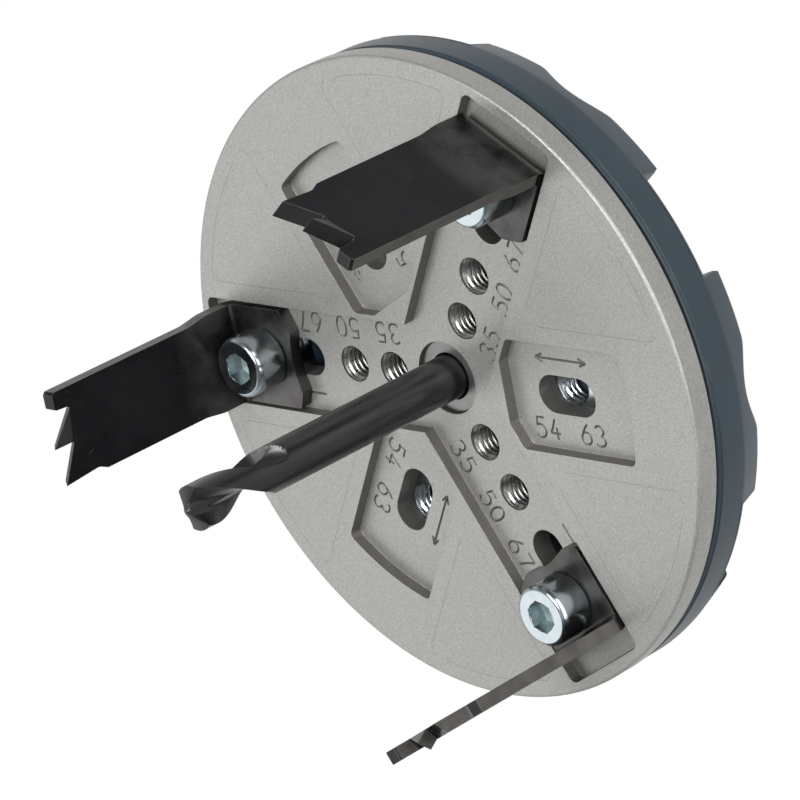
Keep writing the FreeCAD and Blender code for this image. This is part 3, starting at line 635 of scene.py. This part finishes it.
# Strokes of each digit in a box GLYPH_WIDTH wide and 1 high. A digit's strokes are cut one after another,
# its first stroke with the first strokes of all the others, so that no two strokes cut together touch.
GLYPHS = {
    "0": [arc(0.3, 0.5, 0.3, 0.5, 84, -84, 12), arc(0.3, 0.5, 0.3, 0.5, 90, 270, 12)],
    "3": [arc(0.27, 0.755, 0.26, 0.245, 155, -75, 11), arc(0.27, 0.26, 0.31, 0.26, 78, -150, 12)],
    "4": [[(0.36, 1.0), (0.2, 0.62), (0.02, 0.3)], [(0.02, 0.3), (0.62, 0.3)], [(0.42, 0.6), (0.42, 0.0)]],
    "5": [[(0.56, 1.0), (0.14, 1.0), (0.09, 0.57)], arc(0.27, 0.33, 0.33, 0.33, 128, -145, 12)],
    "6": [[(0.44, 1.0), (0.26, 0.78), (0.1, 0.52), (0.03, 0.36)], arc(0.31, 0.3, 0.29, 0.3, 96, -96, 10),
          arc(0.31, 0.3, 0.29, 0.3, 102, 258, 8)],
    "7": [[(0.02, 1.0), (0.6, 1.0)], [(0.6, 1.0), (0.42, 0.62), (0.22, 0.0)]],
}
strokes = [[], [], []]


def number(text, along, across, degrees):
    """Strokes of a number centred on a spoke's spot, reading outward with its top to the spoke's left."""
    total = (len(text) - 1) * ADVANCE + GLYPH_WIDTH
    for n, digit in enumerate(text):
        for rank, stroke in enumerate(GLYPHS[digit]):
            line = [(along + (u + n * ADVANCE - total / 2) * DIGIT, across + (v - 0.5) * DIGIT)
                    for u, v in stroke]
            strokes[rank].append(spun(line, degrees))


def arrow(start, end, across, degrees, double=False):
    """Strokes of an arrow along a spoke, with a head at its end or at both ends."""
    strokes[0].append(spun([(start, across), (end, across)], degrees))
    for x, way in [(end, -1)] + ([(start, 1)] if double else []):
        for rank, side in ((1, 0.55), (2, -0.55)):
            strokes[rank].append(spun([(x + way * 1.25, across + side), (x, across)], degrees))


for degrees in ARMS.values():
    number("35", 9.6, -5.2, degrees)
    number("50", 17.1, -5.2, degrees)
    number("67", 24.3, -5.2, degrees)
    arrow(24.0, 30.5, 5.1, degrees)
for degrees in SEATS.values():
    number("54", 17.0, -4.9, degrees)
    number("63", 24.9, -4.9, degrees)
    arrow(17.0, 25.8, 4.9, degrees, double=True)
for lines in strokes:
    tool = join("strokes", [groove_tool(line) for line in lines])
    # the strokes are painted darker than the floors: painted shade in the grooves
    dress(tool, SHADED_ENGRAVING)
    combine(plate, tool)
close(plate)


# Faint outlines on the face: thin strips round a panel between each seat and each arm beside it

RIM_LINE = 41.8
BY_ARM = CHANNEL_HALF + 2.6
BY_SEAT = CHANNEL_HALF + 2.4
STRIP = [(0.06, -0.02), (-0.06, -0.02), (-0.06, 0.006), (0.06, 0.006)]


def hairline(points):
    """A thin strip along a line on the face, through the points that lie apart from one another."""
    points = [p for n, p in enumerate(points) if n == 0 or math.dist(p, points[n - 1]) > 0.02]
    return swept("hairline", points, STRIP)


low = math.degrees(math.asin(BY_SEAT / RIM_LINE))
high = 60 - math.degrees(math.asin(BY_ARM / RIM_LINE))
arm_end = math.sqrt(RIM_LINE ** 2 - BY_ARM ** 2)
panels = []
for degrees in SEATS.values():
    for side in (-1, 1):
        by_arm = spun([(20.3, -side * BY_ARM), (arm_end, -side * BY_ARM)], 60 * side)
        by_rim = [(x, side * y) for x, y in arc(0, 0, RIM_LINE, RIM_LINE, high, low, 14)]
        corners = by_arm + by_rim[1:] + [(20.5, side * BY_SEAT)]
        outline = rounded(corners, [0.5, 1.2] + [0] * (len(by_rim) - 2) + [1.2, 0.5], 4)
        cut = 2 * len(outline) // 3
        panels.append(hairline(spun(outline[:cut], degrees)))
        panels.append(hairline(spun(outline[cut + 1:], degrees)))
panel_lines = join("panel_lines", panels)
smooth(panel_lines)
# the strips are painted darker than the face: painted shade of a groove
dress(panel_lines, SHADED_PANEL_LINE)
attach(panel_lines, "plate")

# The upright walls inside the rim are painted darker than the faces: painted shade.
plate.data.materials.append(SHADED_CAST_WALL)
wall = len(plate.data.materials) - 1
for face in plate.data.polygons:
    x, y, z = face.center / MM
    inside = math.hypot(x, y) < PLATE_RADIUS - 1.0 and z > FRONT + BACK + 0.01
    if inside and abs(face.normal.z) < 0.6 and face.material_index == 0:
        face.material_index = wall
smooth(plate)
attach(plate, "plate")
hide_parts("base_plate")


# Tapped holes: a thread turned into the wall, running out in the countersunk mouth. Its flat and its flank
# are shares of half a pitch.

THREAD_MINOR = 2.08
THREAD_MAJOR = 2.5
THREAD_PITCH = 0.8
THREAD_ROW = 0.0667
THREAD_FLAT = 0.12
THREAD_FLANK = 0.72


def thread(radius, degrees, top, bottom, mouth=0.32, outer=2.62):
    """A threaded sleeve at a place on a spoke, with a mouth that opens at 45 degrees."""
    steps = 72
    rows = int((top - bottom) / THREAD_ROW) + 1
    verts = []
    faces = []
    for k in range(rows + 1):
        z = top - (top - bottom) * k / rows
        for i in range(steps):
            a = i / steps
            turns = (z / THREAD_PITCH - a) % 1.0
            wave = 1.0 - abs(2.0 * turns - 1.0)
            wave = min(1.0, max(0.0, (wave - THREAD_FLAT) / THREAD_FLANK))
            r = THREAD_MINOR + (THREAD_MAJOR - THREAD_MINOR) * wave
            cone = THREAD_MAJOR + mouth - (top - z)
            r = max(r, min(cone, outer - 0.01))
            verts.append((r * math.cos(2 * math.pi * a), r * math.sin(2 * math.pi * a), z))
    for k in range(rows):
        for i in range(steps):
            j = (i + 1) % steps
            faces.append((k * steps + i, (k + 1) * steps + i, (k + 1) * steps + j, k * steps + j))
    base = len(verts)
    for z in (bottom, top):
        for i in range(steps):
            a = 2 * math.pi * i / steps
            verts.append((outer * math.cos(a), outer * math.sin(a), z))
    for i in range(steps):
        j = (i + 1) % steps
        faces.append((rows * steps + i, base + i, base + j, rows * steps + j))
        faces.append((base + i, base + steps + i, base + steps + j, base + j))
        faces.append((base + steps + i, i, j, base + steps + j))
    cx, cy = spun([(radius, 0)], degrees)[0]
    obj = make("thread", [(x + cx, y + cy, z) for x, y, z in verts], faces)
    outward(obj)
    obj.data.shade_smooth()
    obj.data.set_sharp_from_angle(angle=math.radians(60))
    return obj


tapped = join("tapped_holes", [thread(radius, degrees, -DEPTH - 0.02, BACK)
                               for degrees in ARMS.values() for radius in TAPPED_AT])
dress(tapped, CUT_METAL)
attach(tapped, "plate")


# Blades: a foot in the channel, a bend, and a leg with a raker and two ground teeth

THICK = 1.8
FLOOR = -DEPTH
TOP = FLOOR + THICK
LEG_IN = 4.9
LEG_OUT = 6.7
BEND_IN = 0.55
BEND_OUT = BEND_IN + THICK
FOOT_HALF = 7.0
BLADE_HOLE = 2.65
BLADE_LIFT = 0.012


def blade_mesh(name):
    """A blade whose screw is on the tool axis, with its leg towards +X."""
    # the leg's outline as (across, height), for each of its two faces, and the ground tooth between its parts
    start = TOP + BEND_IN
    inner_side = [
        (-FOOT_HALF, start), (-FOOT_HALF, 4.6), (-6.9, 5.4), (-6.6, 7.3), (-6.5, 8.2), (-6.5, 32.4),
        (-6.1, 32.8), (-4.2, 32.8), (-4.0, 32.5), (-3.85, 30.6), (-3.6, 30.3)]
    inner_tooth = (1.4, 33.4)
    inner_rest = [
        (1.0, 30.95), (1.25, 30.85), (6.3, 33.5), (5.85, 27.7), (5.95, 27.3), (6.5, 26.1), (6.5, 8.2),
        (6.6, 7.3), (6.9, 5.4), (FOOT_HALF, 4.6), (FOOT_HALF, start)]
    outer_side = inner_side[:9] + [(-3.8, 29.9), (-3.3, 29.25)]
    outer_tooth = (1.35, 32.1)
    outer_rest = [(0.7, 29.9), (1.5, 29.7), (6.2, 32.2)] + inner_rest[3:]
    verts = []
    faces = []
    count = len(inner_side) + len(inner_rest)
    for x, part in ((LEG_IN, inner_side + inner_rest), (LEG_OUT, outer_side + outer_rest)):
        verts += [(x, t, z) for t, z in part]
    faces.append(tuple(range(count)))
    faces.append(tuple(range(count, 2 * count))[::-1])
    # the point of the ground tooth lies within the leg's thickness, between the two parts of the outline
    g1, g2 = len(inner_side) - 1, len(inner_side)
    for i in range(count - 1):
        if i != g1:
            faces.append((i, i + 1, count + i + 1, count + i))
    tip_in, tip_out = len(verts), len(verts) + 1
    verts.append((LEG_IN + 1.05, *inner_tooth))
    verts.append((LEG_OUT + 0.78, *outer_tooth))
    faces.append((g1, tip_in, g2))
    faces.append((count + g1, count + g2, tip_out))
    faces.append((g1, count + g1, tip_out, tip_in))
    faces.append((g2, tip_in, tip_out, count + g2))
    # the bend, from the leg down to the foot
    steps = 7
    cx, cz = LEG_IN - BEND_IN, TOP + BEND_IN
    last = (0, count - 1, count, 2 * count - 1)
    for k in range(1, steps + 1):
        a = math.radians(90 * k / steps)
        now = tuple(range(len(verts), len(verts) + 4))
        verts += [(cx + r * math.cos(a), t, cz - r * math.sin(a))
                  for r in (BEND_IN, BEND_OUT) for t in (-FOOT_HALF, FOOT_HALF)]
        faces.append((last[0], last[1], now[1], now[0]))
        faces.append((last[3], last[2], now[2], now[3]))
        faces.append((last[2], last[0], now[0], now[2]))
        faces.append((last[1], last[3], now[3], now[1]))
        last = now
    # the foot's tail has cut corners and a wavy end
    tail = [(-4.4, -FOOT_HALF), (-4.7, -6.6), (-5.9, -4.1), (-5.95, -3.6)]
    for k in range(1, 8):
        u = k / 8
        tail.append((-5.95 - 0.25 * u + 0.62 * math.sin(math.pi * u), -3.6 + 7.9 * u))
    tail += [(-6.2, 4.5), (-6.15, 5.0), (-5.5, 6.7), (-5.1, FOOT_HALF)]
    first = len(verts)
    for x, t in tail:
        verts += [(x, t, TOP), (x, t, FLOOR)]
    tail_top = list(range(first, len(verts), 2))
    tail_low = list(range(first + 1, len(verts), 2))
    faces.append((last[1], last[0], *tail_top))
    faces.append((last[2], last[3], *tail_low[::-1]))
    chain_top = [last[0]] + tail_top + [last[1]]
    chain_low = [last[2]] + tail_low + [last[3]]
    for i in range(len(chain_top) - 1):
        faces.append((chain_top[i], chain_top[i + 1], chain_low[i + 1], chain_low[i]))
    obj = make(name, verts, faces)
    outward(obj)
    combine(obj, prism("hole", circle(0, BLADE_HOLE, 32), FLOOR - 1, TOP + 1))
    bevel(obj, 0.22, 2, 24)
    smooth(obj, 40)
    dress(obj, BLACK)
    # a lighter finish on the sheared sides, partly bare steel and partly painted highlight, and painted
    # highlight lines on the narrow faces along the edges
    obj.data.materials.append(EDGE_HIGHLIGHT)
    for face in obj.data.polygons:
        ring = [obj.data.vertices[v].co for v in face.vertices]
        longest = max((a - b).length for a, b in zip(ring, ring[1:] + ring[:1]))
        narrow = face.area / longest < 0.19 * MM and longest > 0.3 * MM
        painted_sheen = narrow and (abs(face.normal.y) > 0.25 or face.center.z > (FRONT + 24.0) * MM)
        sheared_and_highlit = abs(face.normal.y) > 0.95 and face.center.z > (FRONT + 1.0) * MM
        if painted_sheen or sheared_and_highlit:
            face.material_index = 1
    return obj


def stand(obj, radius, degrees):
    """Move an object's points out along +X, then turn them to their spoke."""
    obj.data.transform(Matrix.Translation((radius * MM, 0, 0)))
    return turn(obj, degrees)


for letter, degrees in ARMS.items():
    blade = stand(blade_mesh("blade_" + letter + "_dressed"), SET_RADIUS, degrees)
    # a hair above the channel's floor, so that the two flat faces don't share a plane
    blade.data.transform(Matrix.Translation((0, 0, BLADE_LIFT * MM)))
    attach(blade, "carrier_" + letter)
    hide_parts("blade_" + letter)


# Socket screws

HEAD = 5.0
HEAD_RADIUS = 4.25
SOCKET_FLATS = 4.0
SOCKET_DEEP = 2.6


def screw_mesh(name):
    """A socket screw on the tool axis, with its head on the blade's foot."""
    top = TOP + HEAD
    obj = turned(name, [
        (3.55, top), (3.75, top - 0.04), (3.97, top - 0.17), (4.13, top - 0.38), (4.22, top - 0.63),
        (HEAD_RADIUS, top - 0.9), (HEAD_RADIUS, TOP + 0.25), (4.1, TOP), (2.3, TOP),
        (2.3, BACK + 0.7), (1.9, BACK + 0.3)], 96, closed=False)
    hexagon = circle(0, SOCKET_FLATS / 2 / COS30, 6, 30)
    combine(obj, prism("socket", hexagon, top - SOCKET_DEEP, top + 1))
    # a countersunk mouth round the hexagon, and a drilled dimple in its floor
    combine(obj, turned("mouth", [(1.97, top - 0.17), (2.22, top + 0.08)], 48, closed=False))
    combine(obj, turned("dimple", [(0.02, top - 3.3), (1.9, top - 2.5), (1.9, top - 2.4)], 32, closed=False))
    bevel(obj, 0.08, 1, 40)
    smooth(obj, 30)
    return obj


SCREW_TURN = {"a": 22, "b": 0, "c": 13}
for letter, degrees in ARMS.items():
    screw = screw_mesh("screw_" + letter)
    turn(screw, SCREW_TURN[letter])
    stand(screw, SET_RADIUS, degrees)
    dress(screw, ZINC)
    # the floor of the socket is painted lighter: a painted highlight
    screw.data.materials.append(SOCKET_HIGHLIGHT)
    for face in screw.data.polygons:
        x, y = spun([(face.center.x / MM, face.center.y / MM)], -degrees)[0]
        height = face.center.z / MM - FRONT - TOP
        if math.hypot(x - SET_RADIUS, y) < 2.36 and 1.5 < height < 4.93 and face.normal.z > 0.5:
            face.material_index = 1
    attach(screw, "clamp_screw_" + letter)
    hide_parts("blade_screw_" + letter)


# Square nuts with cut threads

NUT_HALF = 4.0
NUT_THICK = 2.7


def nut_mesh(name):
    """A square nut on the tool axis, under the seat that holds it."""
    block = prism(name, box(-NUT_HALF, NUT_HALF, NUT_HALF), NUT_SEAT - NUT_THICK, NUT_SEAT)
    combine(block, prism("bore", circle(0, THREAD_MAJOR, 48), NUT_SEAT - 4, NUT_SEAT + 1))
    bevel(block, 0.22, 2, 30)
    inside = thread(0, 0, NUT_SEAT - 0.02, NUT_SEAT - NUT_THICK + 0.02, mouth=0.1, outer=2.6)
    obj = join(name, [block, inside])
    smooth(obj, 45)
    return obj


def set_nut(name, node, body, radius, degrees):
    nut = stand(nut_mesh(name), radius, degrees)
    dress(nut, ZINC)
    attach(nut, body)
    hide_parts(node)


for letter, degrees in ARMS.items():
    set_nut("clamp_nut_" + letter, "blade_nut_" + letter, "carrier_" + letter, SET_RADIUS, degrees)
for letter, degrees in SEATS.items():
    set_nut("loose_nut_" + letter, "spare_nut_" + letter, "nut_" + letter, NUT_RADIUS[letter], degrees)


# Pilot drill: helical flutes with a long run-out towards the shank, and a ground point

DRILL_RADIUS = 3.0
REACH = 45.2
FLUTE_PITCH = 36.0
FLUTE_START = 33.8
FLUTE_TURN = 35.0
FLUTE_ROUND = 1.8
FLUTE_WHEEL = 6.8
FLUTE_RUN_OUT = 0.92
FLUTE_SLANT = 1.12
WEB = 0.65
POINT = math.tan(math.radians(65))


def flute_depth(phi, z):
    """The drill's radius in a direction, at a height along its body."""
    best = DRILL_RADIUS
    along = z - FLUTE_START
    centre = FLUTE_ROUND + WEB
    if along < 0:
        run = along / FLUTE_RUN_OUT
        if run ** 2 >= FLUTE_WHEEL ** 2:
            return best
        centre += FLUTE_WHEEL - math.sqrt(FLUTE_WHEEL ** 2 - run ** 2)
    turned_by = math.radians(FLUTE_TURN) + 2 * math.pi * along / FLUTE_PITCH
    for side in (0, math.pi):
        a = (phi - turned_by - side + math.pi) % (2 * math.pi) - math.pi
        s = centre * math.sin(a)
        # the round cut meets the body at a slant, so across the body it is wider than it is deep
        wide = FLUTE_ROUND * FLUTE_SLANT
        if abs(s) < wide and math.cos(a) > 0:
            reach = FLUTE_ROUND * math.sqrt(1 - (s / wide) ** 2)
            best = min(best, centre * math.cos(a) - reach)
    return max(best, WEB)


def drill_mesh(name):
    """Rings of points up the body, close together along the flutes, then the point."""
    steps = 240
    shoulder = REACH - DRILL_RADIUS / POINT
    heights = [-19.0, -18.6, -10.0, 0.0, 10.0, 20.0, 27.5]
    z = 28.0
    while z < shoulder - 0.01:
        heights.append(z)
        z += 0.15
    heights.append(shoulder)
    verts = []
    faces = []
    for n, z in enumerate(heights):
        for i in range(steps):
            phi = 2 * math.pi * i / steps
            r = flute_depth(phi, z) - (0.35 if n == 0 else 0.0)
            verts.append((r * math.cos(phi), r * math.sin(phi), z))
    # the ground point: rings that close on the axis, each point pulled onto the cone
    rings = 22
    for q in range(1, rings):
        share = 1 - q / rings
        for i in range(steps):
            phi = 2 * math.pi * i / steps
            low = flute_depth(phi, shoulder)
            r = low * share
            z = REACH - r / POINT
            r = min(r, flute_depth(phi, z))
            if low < DRILL_RADIUS - 0.02:
                inside = shoulder + (REACH - low / POINT - shoulder) * min(1.0, 4.0 * q / rings)
                z = min(REACH - r / POINT, max(inside, z))
            verts.append((r * math.cos(phi), r * math.sin(phi), z))
    rows = len(heights) + rings - 1
    for k in range(rows - 1):
        for i in range(steps):
            j = (i + 1) % steps
            faces.append((k * steps + i, k * steps + j, (k + 1) * steps + j, (k + 1) * steps + i))
    faces.append(tuple(range(steps))[::-1])
    tip = len(verts)
    verts.append((0, 0, REACH - 0.03))
    last = (rows - 1) * steps
    for i in range(steps):
        faces.append((last + i, last + (i + 1) % steps, tip))
    obj = make(name, verts, faces)
    outward(obj)
    smooth(obj, 28)
    return obj


drill = drill_mesh("twist_drill")
dress(drill, DRILL_BLACK)
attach(drill, "plate")
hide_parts("pilot_drill")


# Arbor: spigot, collar, neck and hexagon shank

SHANK_FLATS = 9.5
SHANK_END = -36.7
GRIP_SCREW_AT = 12.5

spigot = turned("arbor_turned", [
    (4.9, -2.4), (4.98, -2.48), (4.98, BACK), (9.7, BACK), (10.0, BACK - 0.3), (10.0, -15.2), (9.2, -16.0),
    (4.65, -16.0), (4.65, -17.3)], 128, closed=False)
combine(spigot, prism("bore", circle(0, DRILL_RADIUS + 0.02, 64), -22, 0))
combine(spigot, turned("countersink", [(3.0, -3.0), (3.28, -2.6), (3.28, -2.0)], 64, closed=False))
side = prism("side", circle(0, 2.3, 40), 0, 12)
side.data.transform(Matrix.Translation((0, 0, -FRONT * MM)))
side.data.transform(Matrix.Rotation(math.radians(90), 4, "X"))
side.data.transform(Matrix.Translation((0, 0, (FRONT - GRIP_SCREW_AT) * MM)))
combine(spigot, side)
corner = SHANK_FLATS / 2 / COS30
shank = prism("shank", circle(0, corner, 6), SHANK_END, -17.2)
combine(shank, turned("ring", [
    (corner - 1.0, SHANK_END - 1.0), (corner + 1.0, SHANK_END - 1.0), (corner + 1.0, SHANK_END + 0.5),
    (corner, SHANK_END + 0.5), (corner - 1.0, SHANK_END)], 64))
bevel(shank, 0.2, 2, 35)
arbor = join("arbor_dressed", [spigot, shank])
smooth(arbor, 35)
dress(arbor, TURNED)
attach(arbor, "plate")
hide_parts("arbor")


# Rear cover: a cup with six scalloped grips

COVER_BACK = -9.6
GRIP_TOP = -13.4
WINDOW_SLOPE = math.tan(math.radians(9.6))
SCALLOP_HALF = 6.05
SCALLOP_DEPTH = 1.9
RIB_HALF = 0.8
COVER_SCREWS_AT = 30.0

cover = turned("cover", [
    (41.4, -3.8), (43.0, -3.8), (43.1, -4.12), (43.6, -4.14), (43.82, -4.22), (43.93, -4.36), (43.95, -4.55),
    (43.97, -4.72), (44.15, -4.86), (44.15, -8.6), (44.02, -9.3), (42.76, GRIP_TOP), (35.5, GRIP_TOP),
    (35.5, COVER_BACK), (13.0, COVER_BACK), (12.4, -11.0), (10.3, -11.0), (10.3, BACK),
    (41.4, BACK)], ROUND_STEPS)
window = [(x, side * x * WINDOW_SLOPE) for x, side in ((34.5, -1), (47.0, -1), (47.0, 1), (34.5, 1))]
for k in range(6):
    combine(cover, prism("window", spun(window, 60 * k + 30), GRIP_TOP - 1, COVER_BACK))
scallop = [(-SCALLOP_HALF, GRIP_TOP - 2)]
for k in range(33):
    u = -1 + 2 * k / 32
    scallop.append((SCALLOP_HALF * u, GRIP_TOP + SCALLOP_DEPTH * (1 - u * u) ** 1.6))
scallop.append((SCALLOP_HALF, GRIP_TOP - 2))
for k in range(3):
    count = len(scallop)
    verts = [(x, y, z) for x in (-50.0, 50.0) for y, z in scallop]
    faces = [tuple(range(count)), tuple(range(count, 2 * count))[::-1]]
    faces += [(i, (i + 1) % count, count + (i + 1) % count, count + i) for i in range(count)]
    trough = make("scallop", verts, faces)
    outward(trough)
    turn(trough, 60 * k)
    combine(cover, trough)
for k in range(6):
    rib = spun(box(12.4, 36.0, RIB_HALF), 60 * k)
    combine(cover, prism("rib", rib, COVER_BACK - 1.0, COVER_BACK + 0.4), "UNION")
for degrees in (90, 210, 330):
    sink = turned("sink", [
        (1.6, BACK + 0.5), (1.6, COVER_BACK + 1.2), (2.8, COVER_BACK),
        (2.8, COVER_BACK - 2)], 40, closed=False)
    x, y = spun([(COVER_SCREWS_AT, 0)], degrees)[0]
    sink.data.transform(Matrix.Translation((x * MM, y * MM, 0)))
    combine(cover, sink)
round_edges(cover, 0.75, FRONT + COVER_BACK + 0.05)
bevel(cover, 0.3, 3, 33)
smooth(cover, 40)
dress(cover, PLASTIC)
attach(cover, "plate")
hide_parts("rear_cover")

# The screws in the back keep the solids' shapes, and only take a finish here.
for letter in ARMS:
    dress(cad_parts["cover_screw_" + letter], ZINC)
dress(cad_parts["drill_grip_screw"], BLACK)


# Floor, lamps and world: the background is white where the camera looks, and fades to grey around it

SIGHT = (0.636, -0.449, 0.628)
POOL = (-0.28, 0.2, 0.0)


def seen_or_lighting(tree, bright, dim):
    """Show one shader to camera, glossy and transmission rays, and the other one to the rest."""
    path = tree.nodes.new("ShaderNodeLightPath")
    rays = path.outputs["Is Camera Ray"]
    for name in ("Is Glossy Ray", "Is Transmission Ray"):
        most = tree.nodes.new("ShaderNodeMath")
        most.operation = "MAXIMUM"
        tree.links.new(rays, most.inputs[0])
        tree.links.new(path.outputs[name], most.inputs[1])
        rays = most.outputs[0]
    blend = tree.nodes.new("ShaderNodeMixShader")
    tree.links.new(rays, blend.inputs["Fac"])
    tree.links.new(dim, blend.inputs[1])
    tree.links.new(bright, blend.inputs[2])
    return blend.outputs[0]


def graded(tree, vector, kind, low, high, start, end):
    """A grey from low to high as a length or a product of the vector goes from start to end."""
    measure = tree.nodes.new("ShaderNodeVectorMath")
    measure.operation = kind
    tree.links.new(vector, measure.inputs[0])
    measure.inputs[1].default_value = POOL if kind == "DISTANCE" else SIGHT
    grade = tree.nodes.new("ShaderNodeMapRange")
    grade.interpolation_type = "SMOOTHSTEP"
    grade.inputs["From Min"].default_value = start
    grade.inputs["From Max"].default_value = end
    grade.inputs["To Min"].default_value = low
    grade.inputs["To Max"].default_value = high
    tree.links.new(measure.outputs["Value"], grade.inputs["Value"])
    return grade.outputs["Result"]


def lit(tree, strength, shader):
    """Full strength for the camera, the graded one for other rays."""
    path = tree.nodes.new("ShaderNodeLightPath")
    most = tree.nodes.new("ShaderNodeMath")
    most.operation = "MAXIMUM"
    tree.links.new(path.outputs["Is Camera Ray"], most.inputs[0])
    tree.links.new(strength, most.inputs[1])
    tree.links.new(most.outputs[0], shader.inputs["Strength"])


floor_data = bpy.data.meshes.new("floor")
floor_data.from_pydata([(-4, -4, 0), (4, -4, 0), (4, 4, 0), (-4, 4, 0)], [], [(0, 1, 2, 3)])
floor = put("floor", floor_data)
floor.location = (0, 0, -0.25)
pale = bpy.data.materials.new("floor")
pale.use_nodes = True
tree = pale.node_tree
tree.nodes.clear()
out = tree.nodes.new("ShaderNodeOutputMaterial")
diffuse = tree.nodes.new("ShaderNodeBsdfDiffuse")
diffuse.inputs["Color"].default_value = (0.8, 0.8, 0.8, 1.0)
glow = tree.nodes.new("ShaderNodeEmission")
place = tree.nodes.new("ShaderNodeTexCoord")
# For glossy rays the floor glows brightest round POOL and dims away from it: a painted pool of light seen in
# reflections.
lit(tree, graded(tree, place.outputs["Object"], "DISTANCE", 1.0, 0.24, 0.3, 0.8), glow)
tree.links.new(seen_or_lighting(tree, glow.outputs[0], diffuse.outputs[0]), out.inputs["Surface"])
floor_data.materials.append(pale)


def lamp(name, spot, size, power):
    """A rectangular lamp that faces the tool."""
    data = bpy.data.lights.new(name, "AREA")
    data.shape = "RECTANGLE"
    data.size, data.size_y = size
    data.energy = power
    obj = put(name, data)
    obj.location = spot
    obj.rotation_mode = "QUATERNION"
    obj.rotation_quaternion = (Vector((0, 0, 0.02)) - Vector(spot)).to_track_quat("-Z", "Y")


lamp("key", (-0.55, 0.42, 0.62), (0.45, 0.45), 0.65)
lamp("top", (0.3, 0.1, 0.9), (0.5, 0.5), 7.0)
lamp("fill", (0.7, -0.6, 0.25), (1.3, 1.0), 10.0)

world = bpy.data.worlds.new("world")
bpy.context.scene.world = world
world.use_nodes = True
tree = world.node_tree
tree.nodes.clear()
out = tree.nodes.new("ShaderNodeOutputWorld")
dim = tree.nodes.new("ShaderNodeBackground")
dim.inputs["Color"].default_value = (1.0, 1.0, 1.0, 1.0)
dim.inputs["Strength"].default_value = 0.35
white = tree.nodes.new("ShaderNodeBackground")
place = tree.nodes.new("ShaderNodeTexCoord")
lit(tree, graded(tree, place.outputs["Generated"], "DOT_PRODUCT", 0.9, 0.25, -0.35, 0.45), white)
tree.links.new(seen_or_lighting(tree, white.outputs[0], dim.outputs[0]), out.inputs["Surface"])
